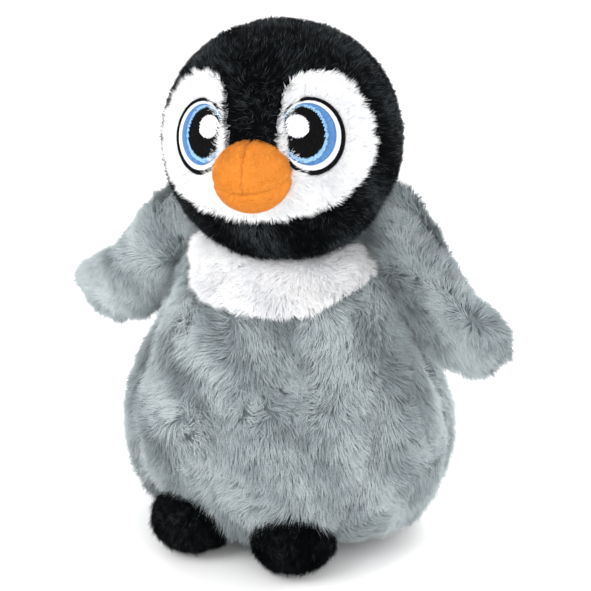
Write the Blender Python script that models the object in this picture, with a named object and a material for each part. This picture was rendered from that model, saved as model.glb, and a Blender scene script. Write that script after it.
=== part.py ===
"""Sewn plush penguin chick: furry panels over stuffing, with a turning head and two swinging wings.

The toy faces -Y and its left side is +X.  Every fabric panel is a piece cut from a closed
skin, 3 mm thick with its pile pressed flat, and the stuffing fills the room inside.
"""
import math

import bmesh
import bpy
from mathutils import Matrix, Vector

MM = 0.001

# Fits
GAP = 0.3 * MM
JOINT_GAP = 0.8 * MM
SKIN = 3.0 * MM

# Body, a pear standing on a flat base
BODY_Y = 3.4 * MM
BODY_DEPTH = 0.84
BODY_SIDES = 28
BODY_PROFILE = [
    (0, 0), (46, 0), (60, 3.5), (71, 11), (79, 23), (83.5, 37), (85, 53), (82.5, 69),
    (76, 85), (68.5, 100), (64, 114), (59.5, 129), (51.5, 141), (43, 149.5), (30, 155),
    (0, 157.5),
]
NECK_SLOPE = 0.10
NECK_SLOPE_FROM = 90 * MM
BASE_RADII = (39 * MM, 33 * MM)
BIB_HALF = [
    (0, 120), (14, 120.6), (26, 122.5), (36, 126.5), (43.5, 132), (47.5, 139), (49, 150),
    (49, 175),
]
BELLY_HALF = [
    (0, -8), (20, -8), (23, 0), (35, 12), (46, 27), (54, 46), (57, 62), (56.5, 80),
    (54, 100), (50, 116), (43, 131), (0, 131),
]

# Head, a ball that is a little fuller at the cheeks
HEAD_AXIS_Y = -2.2 * MM
HEAD_TURN = 10
HEAD_LEAN = 4
HEAD_RADIUS = 57 * MM
HEAD_SEAT = 136 * MM
HEAD_TOP = HEAD_SEAT + 2 * HEAD_RADIUS
HEAD_SIDES = 28
HEAD_RINGS = 12
HEAD_FULLNESS = 2.08
HEAD_NECK_RADIUS = 27 * MM
GUSSET_HALF = 14 * MM
MASK_HALF = [
    (0, -20.8), (9, -20.6), (20, -19.4), (30, -16.8), (37.5, -13), (42.5, -8), (45.5, -1.5),
    (46.2, 7), (44.3, 18), (40, 27), (34.5, 33), (28, 36.6), (21, 37.6), (16, 36),
    (13.2, 31.5), (12.4, 23), (12.0, 10), (0, 8),
]

# Beak, a bulb on the front of the head
BEAK_RADII = (17.4 * MM, 18.5 * MM, 16.0 * MM)
BEAK_REACH = HEAD_RADIUS + 16 * MM
BEAK_DROP = 1.4 * MM
MOUTH_DROP = 4.8 * MM
BEAK_SKIN = 1.6 * MM

# Embroidered eyes: half widths, half heights, and shift (towards the nose, up)
EYE_TURN = 29.5
EYE_TILT = 15.0
EYE_OUTER = (15.3, 17.0, 0.0, 0.0)
EYE_WHITE = (13.6, 15.3, 0.3, 0.3)
EYE_IRIS = (12.4, 13.6, 1.3, 1.0)
EYE_PUPIL = (9.8, 11.7, 3.8, 2.1)
EYE_LIGHT = (5.2, 5.3, 6.2, 5.0)
EYE_SIDES = 20

# Wings, flat mitts in the side seams, given about the +X side
WING_Y = 5 * MM
WING_HALF_THICK = 12.5 * MM
WING_SKIN = 3.0 * MM
WING_SIDES = 22
WING_CENTRE = (86, 119)
WING_OUTLINE = [
    (40, 150), (46, 161), (53, 168), (60, 167.5), (67, 160), (75, 150.5), (83.5, 141.5),
    (92.5, 133), (102, 125.5), (110.5, 118), (115.5, 110), (116.5, 102), (113.5, 94),
    (108.5, 88.5), (102, 85), (94.5, 84.5), (86, 86), (77.5, 91), (70, 99.5), (61, 114),
    (51, 133),
]
WING_HINGE_LOW = (66.5, 101)
WING_HINGE_HIGH = (49, 150)
WING_FORWARD = 40
WING_BACK = 20
WING_STEPS = 4

# Feet, padded ovals under the belly
FOOT_RADII = (22.5 * MM, 25 * MM, 19 * MM)
FOOT_CENTRE = (25.5 * MM, -49.5 * MM, 16 * MM)
FOOT_TOE_OUT = 8
FOOT_SKIN = 3.0 * MM
SOLE_TOP = 3.2 * MM

PIECES = "plush_penguin"


def clear_scene():
    """Empty the file of its start objects."""
    for obj in list(bpy.data.objects):
        bpy.data.objects.remove(obj, do_unlink=True)


def fabric(name, colour, roughness=0.9):
    """Return a cloth material with its plain colour."""
    mat = bpy.data.materials.new(name)
    mat.use_nodes = True
    shader = mat.node_tree.nodes["Principled BSDF"]
    shader.inputs["Base Color"].default_value = (*colour, 1.0)
    shader.inputs["Roughness"].default_value = roughness
    shader.inputs["Metallic"].default_value = 0.0
    return mat


def object_from(bm, name):
    """Make an object in the pieces' collection from a bmesh."""
    bmesh.ops.recalc_face_normals(bm, faces=bm.faces)
    mesh = bpy.data.meshes.new(name)
    bm.to_mesh(mesh)
    bm.free()
    obj = bpy.data.objects.new(name, mesh)
    bpy.data.collections[PIECES].objects.link(obj)
    return obj


def drop(*objects):
    """Remove objects that have done their work."""
    for obj in objects:
        bpy.data.objects.remove(obj, do_unlink=True)


def ball(name, radii, centre, sides, rings, power=2.0):
    """Make a ball with three radii; a power over two makes it fuller."""
    bm = bmesh.new()
    bmesh.ops.create_uvsphere(bm, u_segments=sides, v_segments=rings, radius=1.0)
    for vert in bm.verts:
        round_part = math.hypot(vert.co.x, vert.co.y)
        full = (round_part**power + abs(vert.co.z) ** power) ** (-1.0 / power)
        vert.co = Vector([c * full * r for c, r in zip(vert.co, radii)]) + Vector(centre)
    return object_from(bm, name)


def body_form():
    """Spin the body's profile, flatten its depth a little and lower its neck at the front."""
    bm = bmesh.new()
    verts = [bm.verts.new((r * MM, 0.0, z * MM)) for r, z in BODY_PROFILE]
    edges = [bm.edges.new(pair) for pair in zip(verts, verts[1:])]
    bmesh.ops.spin(
        bm, geom=verts + edges, cent=(0, 0, 0), axis=(0, 0, 1),
        angle=math.tau, steps=BODY_SIDES, use_merge=True,
    )
    bmesh.ops.remove_doubles(bm, verts=bm.verts, dist=1e-6)
    top = BODY_PROFILE[-1][1] * MM
    for vert in bm.verts:
        rise = max(0.0, (vert.co.z - NECK_SLOPE_FROM) / (top - NECK_SLOPE_FROM))
        vert.co.z += NECK_SLOPE * vert.co.y * rise * rise * (3 - 2 * rise)
        vert.co.y = vert.co.y * BODY_DEPTH + BODY_Y
    return object_from(bm, "body_form")


def shrunk(obj, amount, name="shrunk"):
    """Copy a form with its surface moved in by an amount, or out by a negative one."""
    bm = bmesh.new()
    bm.from_mesh(obj.data)
    bm.normal_update()
    moves = [vert.normal * amount * vert.calc_shell_factor() for vert in bm.verts]
    for vert, move in zip(bm.verts, moves):
        vert.co -= move
    return object_from(bm, name)


def prism(name, half, front, back, grow=0.0):
    """Extrude a front-view outline along Y; the outline is given for one half and mirrored."""
    outline = [(x, z) for x, z in half]
    outline += [(-x, z) for x, z in reversed(half) if x > 0]
    bm = bmesh.new()
    ring = []
    count = len(outline)
    for index, (x, z) in enumerate(outline):
        before, after = outline[index - 1], outline[(index + 1) % count]
        along = Vector((after[0] - before[0], after[1] - before[1])).normalized()
        out = Vector((along.y, -along.x))
        ring.append(bm.verts.new((x * MM + out.x * grow, front, z * MM + out.y * grow)))
    face = bm.faces.new(ring)
    pushed = bmesh.ops.extrude_face_region(bm, geom=[face])["geom"]
    moved = [v for v in pushed if isinstance(v, bmesh.types.BMVert)]
    bmesh.ops.translate(bm, verts=moved, vec=(0, back - front, 0))
    return object_from(bm, name)


def block(name, low, high):
    """Make a box between two corners."""
    bm = bmesh.new()
    bmesh.ops.create_cube(bm, size=1.0)
    size = [b - a for a, b in zip(low, high)]
    middle = [(a + b) / 2 for a, b in zip(low, high)]
    bmesh.ops.scale(bm, verts=bm.verts, vec=size)
    bmesh.ops.translate(bm, verts=bm.verts, vec=middle)
    return object_from(bm, name)


def post(name, radii, length, sides, place):
    """Make an oval post about its own Z, then put it in place with a matrix."""
    bm = bmesh.new()
    bmesh.ops.create_cone(
        bm, cap_ends=True, segments=sides, radius1=1.0, radius2=1.0, depth=length
    )
    bmesh.ops.scale(bm, verts=bm.verts, vec=(radii[0], radii[1], 1.0))
    bmesh.ops.transform(bm, verts=bm.verts, matrix=place)
    return object_from(bm, name)


def cut(obj, cutter, operation, name=None):
    """Return a new object: obj with cutter taken away or kept in common."""
    result = bpy.data.objects.new(name or obj.name, obj.data.copy())
    bpy.data.collections[PIECES].objects.link(result)
    tool = result.modifiers.new("cut", "BOOLEAN")
    tool.operation = operation
    tool.solver = "EXACT"
    tool.object = cutter
    depsgraph = bpy.context.evaluated_depsgraph_get()
    mesh = bpy.data.meshes.new_from_object(result.evaluated_get(depsgraph))
    result.modifiers.clear()
    result.data = mesh
    bm = bmesh.new()
    bm.from_mesh(mesh)
    bmesh.ops.remove_doubles(bm, verts=bm.verts, dist=2e-6)
    bmesh.ops.dissolve_degenerate(bm, edges=bm.edges, dist=2e-6)
    bm.to_mesh(mesh)
    bm.free()
    return result


def less(obj, *cutters, name=None):
    """Take every cutter away from a copy of obj."""
    for index, cutter in enumerate(cutters):
        before = obj
        obj = cut(before, cutter, "DIFFERENCE", name)
        if index:
            drop(before)
    return obj


def common(obj, cutter, name):
    """Keep what obj and cutter share."""
    return cut(obj, cutter, "INTERSECT", name)


def mirrored(obj, name):
    """Copy a piece to the other side of the toy."""
    bm = bmesh.new()
    bm.from_mesh(obj.data)
    bmesh.ops.scale(bm, verts=bm.verts, vec=(-1, 1, 1))
    bmesh.ops.reverse_faces(bm, faces=bm.faces)
    return object_from(bm, name)


def finish(obj, name, material, origin=(0, 0, 0), turn=0.0):
    """Name a piece, dress it, put its origin where it turns and set it as it rests."""
    obj.name = name
    obj.data.name = name
    obj.data.materials.clear()
    obj.data.materials.append(material)
    obj.data.transform(Matrix.Translation(-Vector(origin)))
    if turn:
        obj.data.transform(Matrix.Rotation(math.radians(-HEAD_LEAN), 4, "Y"))
        obj.data.transform(Matrix.Rotation(math.radians(turn), 4, "Z"))
    obj.location = origin
    return obj


def pair(obj, name, material, origin=(0, 0, 0), turn=0.0):
    """Finish a piece on the left side and its mirror image on the right."""
    other = mirrored(obj, name + "_right")
    finish(obj, name + "_left", material, origin, turn)
    finish(other, name + "_right", material, (-origin[0], origin[1], origin[2]), turn)


def head_pivot():
    """Return the middle of the head, on the axis it turns about."""
    return Vector((0, HEAD_AXIS_Y, HEAD_TOP - HEAD_RADIUS))


def build_body(body, head_room, cloth):
    """Cut the body's skin into its sewn panels and fill it."""
    inner = shrunk(body, SKIN)
    shell = less(body, inner, head_room, name="shell")
    base_in = post("base_in", BASE_RADII, 8 * MM, BODY_SIDES,
                   Matrix.Translation((0, BODY_Y, 0)))
    base_out = post("base_out", [r + GAP for r in BASE_RADII], 8 * MM, BODY_SIDES,
                    Matrix.Translation((0, BODY_Y, 0)))
    front, back = -150 * MM, BODY_Y
    bib_in = prism("bib_in", BIB_HALF, front, back)
    bib_out = prism("bib_out", BIB_HALF, front, back + GAP, GAP)
    belly_in = prism("belly_in", BELLY_HALF, front, back)
    belly_out = prism("belly_out", BELLY_HALF, front, back + GAP, GAP)
    finish(common(shell, base_in, "base"), "base_panel", cloth["grey"])
    finish(common(shell, bib_in, "bib"), "bib_panel", cloth["white"])
    upper = less(shell, base_out, name="upper")
    below_bib = less(upper, bib_out, name="below_bib")
    finish(common(below_bib, belly_in, "belly"), "belly_panel", cloth["grey"])
    rest = less(below_bib, belly_out, name="rest")
    half = GAP / 2
    side_y = WING_Y
    front_half = block("front_half", (half, -0.2, -0.1), (0.3, side_y - half, 0.3))
    back_half = block("back_half", (half, side_y + half, -0.1), (0.3, 0.2, 0.3))
    pair(common(rest, front_half, "side"), "side_panel", cloth["grey"])
    pair(common(rest, back_half, "back"), "back_panel", cloth["grey"])
    filling = shrunk(body, SKIN + GAP)
    finish(less(filling, head_room, name="fill"), "body_stuffing", cloth["stuffing"])
    drop(inner, shell, base_in, base_out, bib_in, bib_out, belly_in, belly_out)
    drop(upper, below_bib, rest, front_half, back_half, filling)


def eye_place(head_centre):
    """Return the matrix that carries eye sizes onto the face on the left side."""
    turn = Matrix.Rotation(math.radians(EYE_TURN), 4, "Z")
    tilt = Matrix.Rotation(math.radians(90 - EYE_TILT), 4, "X")
    return Matrix.Translation(head_centre) @ turn @ tilt


def eye_post(shape, place, grow=0.0):
    """Make one oval of the eye as a post standing through the face."""
    wide, high, inward, up = shape
    shift = Matrix.Translation((-inward * MM, up * MM, HEAD_RADIUS))
    radii = (wide * MM + grow, high * MM + grow)
    return post("oval", radii, 40 * MM, EYE_SIDES, place @ shift)


def build_eye(shell, place, cloth):
    """Cut the five stitched areas of an eye out of the face's skin, for both sides."""
    rest = (head_pivot(), HEAD_TURN)
    outer = eye_post(EYE_OUTER, place)
    white = eye_post(EYE_WHITE, place)
    white_in = eye_post(EYE_WHITE, place, -GAP)
    iris = eye_post(EYE_IRIS, place)
    iris_in = eye_post(EYE_IRIS, place, -GAP)
    pupil = eye_post(EYE_PUPIL, place)
    pupil_in = eye_post(EYE_PUPIL, place, -GAP)
    light = eye_post(EYE_LIGHT, place)
    light_in = eye_post(EYE_LIGHT, place, -GAP)
    disc = common(shell, outer, "disc")
    inside = common(disc, white_in, "inside")
    pair(less(disc, white, name="ring"), "eye_outline", cloth["black_thread"], *rest)
    pair(less(inside, iris, name="band"), "eye_white", cloth["white_thread"], *rest)
    centre = common(inside, iris_in, "centre")
    pair(less(centre, pupil, name="crescent"), "eye_iris", cloth["blue_thread"], *rest)
    dark = common(centre, pupil_in, "dark")
    pair(less(dark, light, name="dark"), "eye_pupil", cloth["black_thread"], *rest)
    pair(common(dark, light_in, "spot"), "eye_highlight", cloth["white_thread"], *rest)
    drop(outer, white, white_in, iris, iris_in, pupil, pupil_in, light, light_in)
    drop(disc, inside, centre, dark)


def build_head(head, cloth):
    """Cut the head's skin into the face, the crown strip and the two hood halves."""
    middle = head_pivot()
    inner = shrunk(head, SKIN)
    opening = post("opening", (HEAD_NECK_RADIUS,) * 2, 60 * MM, HEAD_SIDES,
                   Matrix.Translation(middle - Vector((0, 0, HEAD_RADIUS))))
    shell = less(head, inner, opening, name="head_shell")
    lift = [(x, z + middle.z / MM) for x, z in MASK_HALF]
    front = -120 * MM
    face_in = prism("face_in", lift, front, HEAD_AXIS_Y)
    face_out = prism("face_out", lift, front, HEAD_AXIS_Y + GAP, GAP)
    place = eye_place(middle)
    hole = eye_post(EYE_OUTER, place, GAP)
    hole_right = mirrored(hole, "hole_right")
    face = common(shell, face_in, "face")
    finish(less(face, hole, hole_right, name="face"), "face_mask", cloth["white"], middle, HEAD_TURN)
    drop(face)
    build_eye(shell, place, cloth)
    hood = less(shell, face_out, hole, hole_right, name="hood")
    wide = GUSSET_HALF
    strip = block("strip", (-wide, -0.2, middle.z), (wide, 0.2, 0.3))
    strip_back = block("strip_back", (-wide, HEAD_AXIS_Y, 0.1), (wide, 0.2, 0.3))
    strip_room = block("strip_room", (-wide - GAP, -0.2, middle.z - GAP), (wide + GAP, 0.2, 0.3))
    back_room = block("back_room", (-wide - GAP, HEAD_AXIS_Y - GAP, 0.1), (wide + GAP, 0.2, 0.3))
    gusset_form = cut(strip, strip_back, "UNION", "gusset_form")
    finish(common(hood, gusset_form, "gusset"), "crown_gusset", cloth["black"], middle, HEAD_TURN)
    halves = less(hood, strip_room, back_room, name="halves")
    left = block("left", (GAP / 2, -0.2, 0), (0.2, 0.2, 0.3))
    pair(common(halves, left, "hood_half"), "hood_panel", cloth["black"], middle, HEAD_TURN)
    finish(shrunk(head, SKIN + GAP), "head_stuffing", cloth["stuffing"], middle, HEAD_TURN)
    drop(inner, opening, shell, face_in, face_out, hole, hole_right, hood)
    drop(strip, strip_back, strip_room, back_room, gusset_form, halves, left)


def beak_form(middle, grow=0.0):
    """Make the beak's bulb, centred on the face."""
    centre = middle + Vector((0, BEAK_RADII[1] - BEAK_REACH, -BEAK_DROP))
    radii = [r + grow for r in BEAK_RADII]
    return ball("beak_form", radii, centre, 20, 10)


def build_beak(head_room, cloth):
    """Cut the beak's skin into two upper halves and a lower piece, and fill it."""
    middle = head_pivot()
    bulb = beak_form(middle)
    inner = shrunk(bulb, BEAK_SKIN)
    shell = less(bulb, inner, head_room, name="beak_shell")
    mouth = middle.z - MOUTH_DROP
    half = GAP / 2
    upper = block("upper", (half, -0.2, mouth + half), (0.1, 0.1, 0.3))
    lower = block("lower", (-0.1, -0.2, 0.1), (0.1, 0.1, mouth - half))
    pair(common(shell, upper, "upper_beak"), "beak_upper", cloth["orange"], middle, HEAD_TURN)
    finish(common(shell, lower, "lower_beak"), "beak_lower", cloth["orange"], middle, HEAD_TURN)
    filling = shrunk(bulb, BEAK_SKIN + GAP)
    finish(less(filling, head_room, name="fill"), "beak_stuffing", cloth["stuffing"], middle, HEAD_TURN)
    drop(bulb, inner, shell, upper, lower, filling)


def wing_reach(angle):
    """Return how far the wing's outline lies from its centre in one direction."""
    centre = Vector(WING_CENTRE)
    ray = Vector((math.cos(angle), math.sin(angle)))
    best = 0.0
    for index, point in enumerate(WING_OUTLINE):
        start = Vector(WING_OUTLINE[index - 1]) - centre
        step = Vector(point) - centre - start
        cross = ray.x * step.y - ray.y * step.x
        if abs(cross) < 1e-9:
            continue
        along = (start.x * step.y - start.y * step.x) / cross
        part = (start.x * ray.y - start.y * ray.x) / cross
        if along > 0 and -1e-6 <= part <= 1 + 1e-6:
            best = max(best, along)
    return best


def wing_form():
    """Shape a ball into the flat mitt of the left wing."""
    bm = bmesh.new()
    bmesh.ops.create_uvsphere(bm, u_segments=WING_SIDES, v_segments=6, radius=1.0)
    for vert in bm.verts:
        flat = math.hypot(vert.co.x, vert.co.y)
        angle = math.atan2(vert.co.y, vert.co.x)
        reach = wing_reach(angle) * flat**0.8
        x = WING_CENTRE[0] + reach * math.cos(angle)
        z = WING_CENTRE[1] + reach * math.sin(angle)
        vert.co = (x * MM, WING_Y + vert.co.z * WING_HALF_THICK, z * MM)
    bmesh.ops.remove_doubles(bm, verts=bm.verts, dist=1e-6)
    return object_from(bm, "wing_form")


def build_wing(body_room, head_room, cloth):
    """Make the wing's two panels and its filling, with a root that clears its whole swing."""
    low = Vector((WING_HINGE_LOW[0] * MM, WING_Y, WING_HINGE_LOW[1] * MM))
    high = Vector((WING_HINGE_HIGH[0] * MM, WING_Y, WING_HINGE_HIGH[1] * MM))
    middle, axis = (low + high) / 2, (low - high).normalized()
    form = wing_form()
    root_cutters = []
    for step in range(WING_STEPS + 1):
        angle = -WING_BACK + (WING_FORWARD + WING_BACK) * step / WING_STEPS
        turn = Matrix.Rotation(-math.radians(angle), 4, axis)
        place = Matrix.Translation(middle) @ turn @ Matrix.Translation(-middle)
        for room in (body_room, head_room):
            copy = bpy.data.objects.new("root_cutter", room.data.copy())
            bpy.data.collections[PIECES].objects.link(copy)
            copy.data.transform(place)
            root_cutters.append(copy)
    inner = shrunk(form, WING_SKIN)
    shell = less(form, inner, *root_cutters, name="wing_shell")
    half = GAP / 2
    ahead = block("ahead", (0, -0.2, 0), (0.3, WING_Y - half, 0.3))
    behind = block("behind", (0, WING_Y + half, 0), (0.3, 0.2, 0.3))
    pair(common(shell, ahead, "front"), "wing_front_panel", cloth["grey"], middle)
    pair(common(shell, behind, "rear"), "wing_back_panel", cloth["grey"], middle)
    filling = shrunk(form, WING_SKIN + GAP)
    fill = less(filling, *root_cutters, name="fill")
    pair(fill, "wing_stuffing", cloth["stuffing"], middle)
    drop(form, inner, shell, ahead, behind, filling, *root_cutters)


def foot_form(inset=0.0):
    """Make the left foot's oval pad, flat underneath, with its surface moved in."""
    radii = [r - inset for r in FOOT_RADII]
    form = ball("foot_form", radii, (0, 0, FOOT_CENTRE[2]), 22, 8, 2.2)
    centre = Vector((FOOT_CENTRE[0], FOOT_CENTRE[1] + BODY_Y, 0))
    turn = Matrix.Rotation(math.radians(FOOT_TOE_OUT), 4, "Z")
    form.data.transform(Matrix.Translation(centre) @ turn)
    ground = block("ground", (-0.2, -0.2, -0.1), (0.2, 0.2, inset))
    foot = less(form, ground, name="foot")
    drop(form, ground)
    return foot


def build_foot(body_room, cloth):
    """Make a foot's upper, sole and filling, stopped where they meet the body."""
    foot = foot_form()
    inner = foot_form(FOOT_SKIN)
    shell = less(foot, inner, body_room, name="foot_shell")
    half = GAP / 2
    above = block("above", (-0.2, -0.2, SOLE_TOP + half), (0.2, 0.2, 0.2))
    below = block("below", (-0.2, -0.2, -0.1), (0.2, 0.2, SOLE_TOP - half))
    pair(common(shell, above, "upper"), "foot_upper", cloth["black"])
    pair(common(shell, below, "sole"), "foot_sole", cloth["black"])
    filling = foot_form(FOOT_SKIN + GAP)
    pair(less(filling, body_room, name="fill"), "foot_stuffing", cloth["stuffing"])
    drop(foot, inner, shell, above, below, filling)


def main():
    """Build the toy panel by panel."""
    clear_scene()
    pieces = bpy.data.collections.new(PIECES)
    bpy.context.scene.collection.children.link(pieces)
    cloth = {
        "grey": fabric("grey_plush", (0.40, 0.43, 0.43)),
        "black": fabric("black_plush", (0.012, 0.013, 0.015)),
        "white": fabric("white_plush", (0.88, 0.89, 0.90)),
        "orange": fabric("orange_fleece", (0.93, 0.26, 0.03), 0.85),
        "black_thread": fabric("black_thread", (0.010, 0.010, 0.012), 0.55),
        "white_thread": fabric("white_thread", (0.90, 0.90, 0.93), 0.55),
        "blue_thread": fabric("blue_thread", (0.11, 0.30, 0.62), 0.5),
        "stuffing": fabric("stuffing", (0.86, 0.86, 0.84), 1.0),
    }
    body = body_form()
    head = ball("head_form", (HEAD_RADIUS,) * 3, head_pivot(), HEAD_SIDES, HEAD_RINGS, HEAD_FULLNESS)
    body_room = shrunk(body, -GAP, "body_room")
    head_room = shrunk(head, -JOINT_GAP, "head_room")
    build_body(body, head_room, cloth)
    build_head(head, cloth)
    build_beak(head_room, cloth)
    build_wing(body_room, head_room, cloth)
    build_foot(body_room, cloth)
    drop(body, head, body_room, head_room)


main()
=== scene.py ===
"""Plush penguin chick: the sewn, furry skin of every panel, laid over the measured parts.

The toy faces -Y and its left side is +X.  Every panel is a thin backing cloth with its pile
grown on it strand by strand.  The eyes are satin stitches and the beak is short-nap fleece.
"""
import itertools
import logging
import math
from contextlib import contextmanager
from dataclasses import dataclass, field, replace
from enum import Enum
from typing import Callable, Iterator

import bmesh
import bpy
import numpy as np
from mathutils import Matrix, Vector


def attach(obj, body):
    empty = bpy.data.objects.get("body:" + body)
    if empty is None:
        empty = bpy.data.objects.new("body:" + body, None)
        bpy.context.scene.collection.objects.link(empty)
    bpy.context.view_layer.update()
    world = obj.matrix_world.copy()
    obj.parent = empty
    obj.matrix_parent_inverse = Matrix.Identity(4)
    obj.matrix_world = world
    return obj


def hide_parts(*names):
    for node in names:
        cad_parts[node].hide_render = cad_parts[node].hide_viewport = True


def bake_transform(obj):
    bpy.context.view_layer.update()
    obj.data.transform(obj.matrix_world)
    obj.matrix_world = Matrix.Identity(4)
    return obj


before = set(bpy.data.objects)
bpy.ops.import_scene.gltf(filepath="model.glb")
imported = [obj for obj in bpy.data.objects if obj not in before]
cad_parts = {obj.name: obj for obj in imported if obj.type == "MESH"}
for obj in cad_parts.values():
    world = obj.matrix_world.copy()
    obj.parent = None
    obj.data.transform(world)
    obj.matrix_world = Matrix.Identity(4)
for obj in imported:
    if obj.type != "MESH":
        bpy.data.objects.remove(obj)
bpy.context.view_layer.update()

Array = np.ndarray
Flow = Callable[[Array, Array], Array]
Test = Callable[[Array], Array]
MM = 0.001
FLOOR_GAP = 0.4 * MM
MERGE = 1e-5
SIM_FRAMES = 20
TRIAL_ROOTS = 4000
LEAST_SHARE = 0.02
STRAY = 0.20
FINE_PATCH = 13 * MM
BROAD_PATCH = 34 * MM
log = logging.getLogger("penguin")


# ---------------------------------------------------------------- small helpers


def unit(vectors: Array) -> Array:
    """Return the vectors scaled to length one."""
    return vectors / np.maximum(np.linalg.norm(vectors, axis=-1, keepdims=True), 1e-12)


def dot(first: Array, second: Array) -> Array:
    """Return the row by row dot product as a column."""
    return (first * second).sum(-1, keepdims=True)


def smooth(value: Array, low: float, high: float) -> Array:
    """Ease from 0 at low to 1 at high."""
    part = np.clip((value - low) / (high - low), 0, 1)
    return part * part * (3 - 2 * part)


def drift(points: Array, size: float, seed: int) -> Array:
    """Return a smooth wandering vector for every point.

    Args:
        points: Places in metres.
        size: Distance over which the wandering turns round, in metres.
        seed: Number that picks the pattern.

    Returns:
        One vector a point, with components of about -1 to 1.
    """
    rng = np.random.default_rng(seed)
    total = np.zeros_like(points)
    for _ in range(12):
        wave = unit(rng.normal(size=3)) * math.tau / size * rng.uniform(0.6, 1.5)
        lean = rng.normal(size=3)
        total += np.sin(points @ wave + rng.uniform(0, math.tau))[:, None] * lean
    return total / 3.2


def tufts(points: Array, size: float, seed: int) -> tuple[Array, Array]:
    """Find the tuft each point belongs to.

    Args:
        points: Roots of the strands.
        size: Spacing of the tufts in metres.
        seed: Number that picks the pattern.

    Returns:
        The middle of each point's tuft, and three random numbers of that tuft.
    """
    cell = np.floor(points / size)
    best = np.full(len(points), np.inf)
    middle, number = np.zeros_like(points), np.zeros_like(points)
    mixer = np.array([[12.9898, 78.233, 37.719], [39.346, 11.135, 83.155], [73.156, 52.235, 9.151]])
    for step in itertools.product((-1.0, 0.0, 1.0), repeat=3):
        spot = cell + np.array(step)
        jitter = np.modf(np.abs(np.sin(spot @ mixer + seed * 1.7)) * 4375.85)[0]
        place = (spot + jitter) * size
        far = ((place - points) ** 2).sum(1)
        near = far < best
        best[near], middle[near] = far[near], place[near]
        number[near] = np.modf(jitter[near] * 971.3)[0]
    return middle, number


def mirror_outline(half: list[tuple[float, float]]) -> Array:
    """Return the whole outline in metres of a half that is given in millimetres."""
    whole = list(half) + [(-x, z) for x, z in reversed(half) if x > 0]
    return np.array(whole) * MM


def inside(outline: Array, flat: Array) -> Array:
    """Tell which flat points lie inside a closed outline."""
    found = np.zeros(len(flat), bool)
    for a, b in zip(outline, np.roll(outline, -1, axis=0)):
        crosses = (a[1] > flat[:, 1]) != (b[1] > flat[:, 1])
        rise = b[1] - a[1] if abs(b[1] - a[1]) > 1e-12 else 1e-12
        found ^= crosses & (flat[:, 0] < a[0] + (flat[:, 1] - a[1]) * (b[0] - a[0]) / rise)
    return found


def away_from(outline: Array, flat: Array, closed: bool = True) -> Array:
    """Return the distance of every flat point from an outline."""
    best = np.full(len(flat), np.inf)
    ends = np.roll(outline, -1, axis=0)
    for a, b in list(zip(outline, ends))[: None if closed else -1]:
        step = b - a
        part = np.clip((flat - a) @ step / max(step @ step, 1e-12), 0, 1)
        best = np.minimum(best, np.linalg.norm(flat - a - part[:, None] * step, axis=1))
    return best


# ---------------------------------------------------------------- mesh helpers


def deselect() -> None:
    """Leave nothing selected and no mesh open."""
    if bpy.context.object and bpy.context.object.mode != "OBJECT":
        bpy.ops.object.mode_set(mode="OBJECT")
    bpy.ops.object.select_all(action="DESELECT")


def pick(obj: bpy.types.Object) -> None:
    """Select one object and make it the active one."""
    deselect()
    obj.select_set(True)
    bpy.context.view_layer.objects.active = obj


@contextmanager
def editing() -> Iterator[None]:
    """Open the active object's mesh with all of it selected, and close it afterwards."""
    bpy.ops.object.mode_set(mode="EDIT")
    bpy.ops.mesh.select_all(action="SELECT")
    yield
    bpy.ops.object.mode_set(mode="OBJECT")


def remove(obj: bpy.types.Object) -> None:
    """Take away an object that has done its work."""
    bpy.data.objects.remove(obj, do_unlink=True)


def points_of(obj: bpy.types.Object) -> Array:
    """Return the places of an object's points."""
    flat = np.empty(len(obj.data.vertices) * 3)
    obj.data.vertices.foreach_get("co", flat)
    return flat.reshape(-1, 3)


def place_points(obj: bpy.types.Object, points: Array) -> None:
    """Move an object's points to new places."""
    obj.data.vertices.foreach_set("co", points.ravel())
    obj.data.update()


def apply(obj: bpy.types.Object, kind: str, **settings: object) -> None:
    """Add a modifier to an object and apply it.

    Args:
        obj: The object to change.
        kind: The modifier's type.
        **settings: Its settings.
    """
    pick(obj)
    tool = obj.modifiers.new(kind.lower(), kind)
    for name, value in settings.items():
        setattr(tool, name, value)
    bpy.ops.object.modifier_apply(modifier=tool.name)


def ball(name: str, radii: Array, centre: Array, sides: int = 48, rings: int = 32) -> bpy.types.Object:
    """Add a ball with three radii at its place, as a start for a padded form."""
    deselect()
    bpy.ops.mesh.primitive_uv_sphere_add(segments=sides, ring_count=rings, radius=1.0)
    obj = bpy.context.object
    obj.name = name
    with editing():
        bpy.ops.transform.resize(value=tuple(radii))
        bpy.ops.transform.translate(value=tuple(centre))
    return obj


def turned(name: str, profile: list[tuple[float, float]], steps: int) -> bpy.types.Object:
    """Spin a profile of radius and height, in millimetres, into a closed form."""
    deselect()
    bpy.ops.mesh.primitive_circle_add(vertices=3, radius=0.001)
    obj = bpy.context.object
    obj.name = name
    with editing():
        bpy.ops.mesh.merge(type="CENTER")
        last = (0.0, 0.0)
        for radius, height in profile:
            step = ((radius - last[0]) * MM, 0, (height - last[1]) * MM)
            if step != (0.0, 0, 0.0):
                bpy.ops.mesh.extrude_region_move(TRANSFORM_OT_translate={"value": step})
            last = (radius, height)
        bpy.ops.mesh.select_all(action="SELECT")
        bpy.ops.mesh.spin(steps=steps, angle=math.tau, center=(0, 0, 0), axis=(0, 0, 1))
        bpy.ops.mesh.select_all(action="SELECT")
        bpy.ops.mesh.remove_doubles(threshold=MERGE)
        bpy.ops.mesh.normals_make_consistent(inside=False)
    return obj


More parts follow.
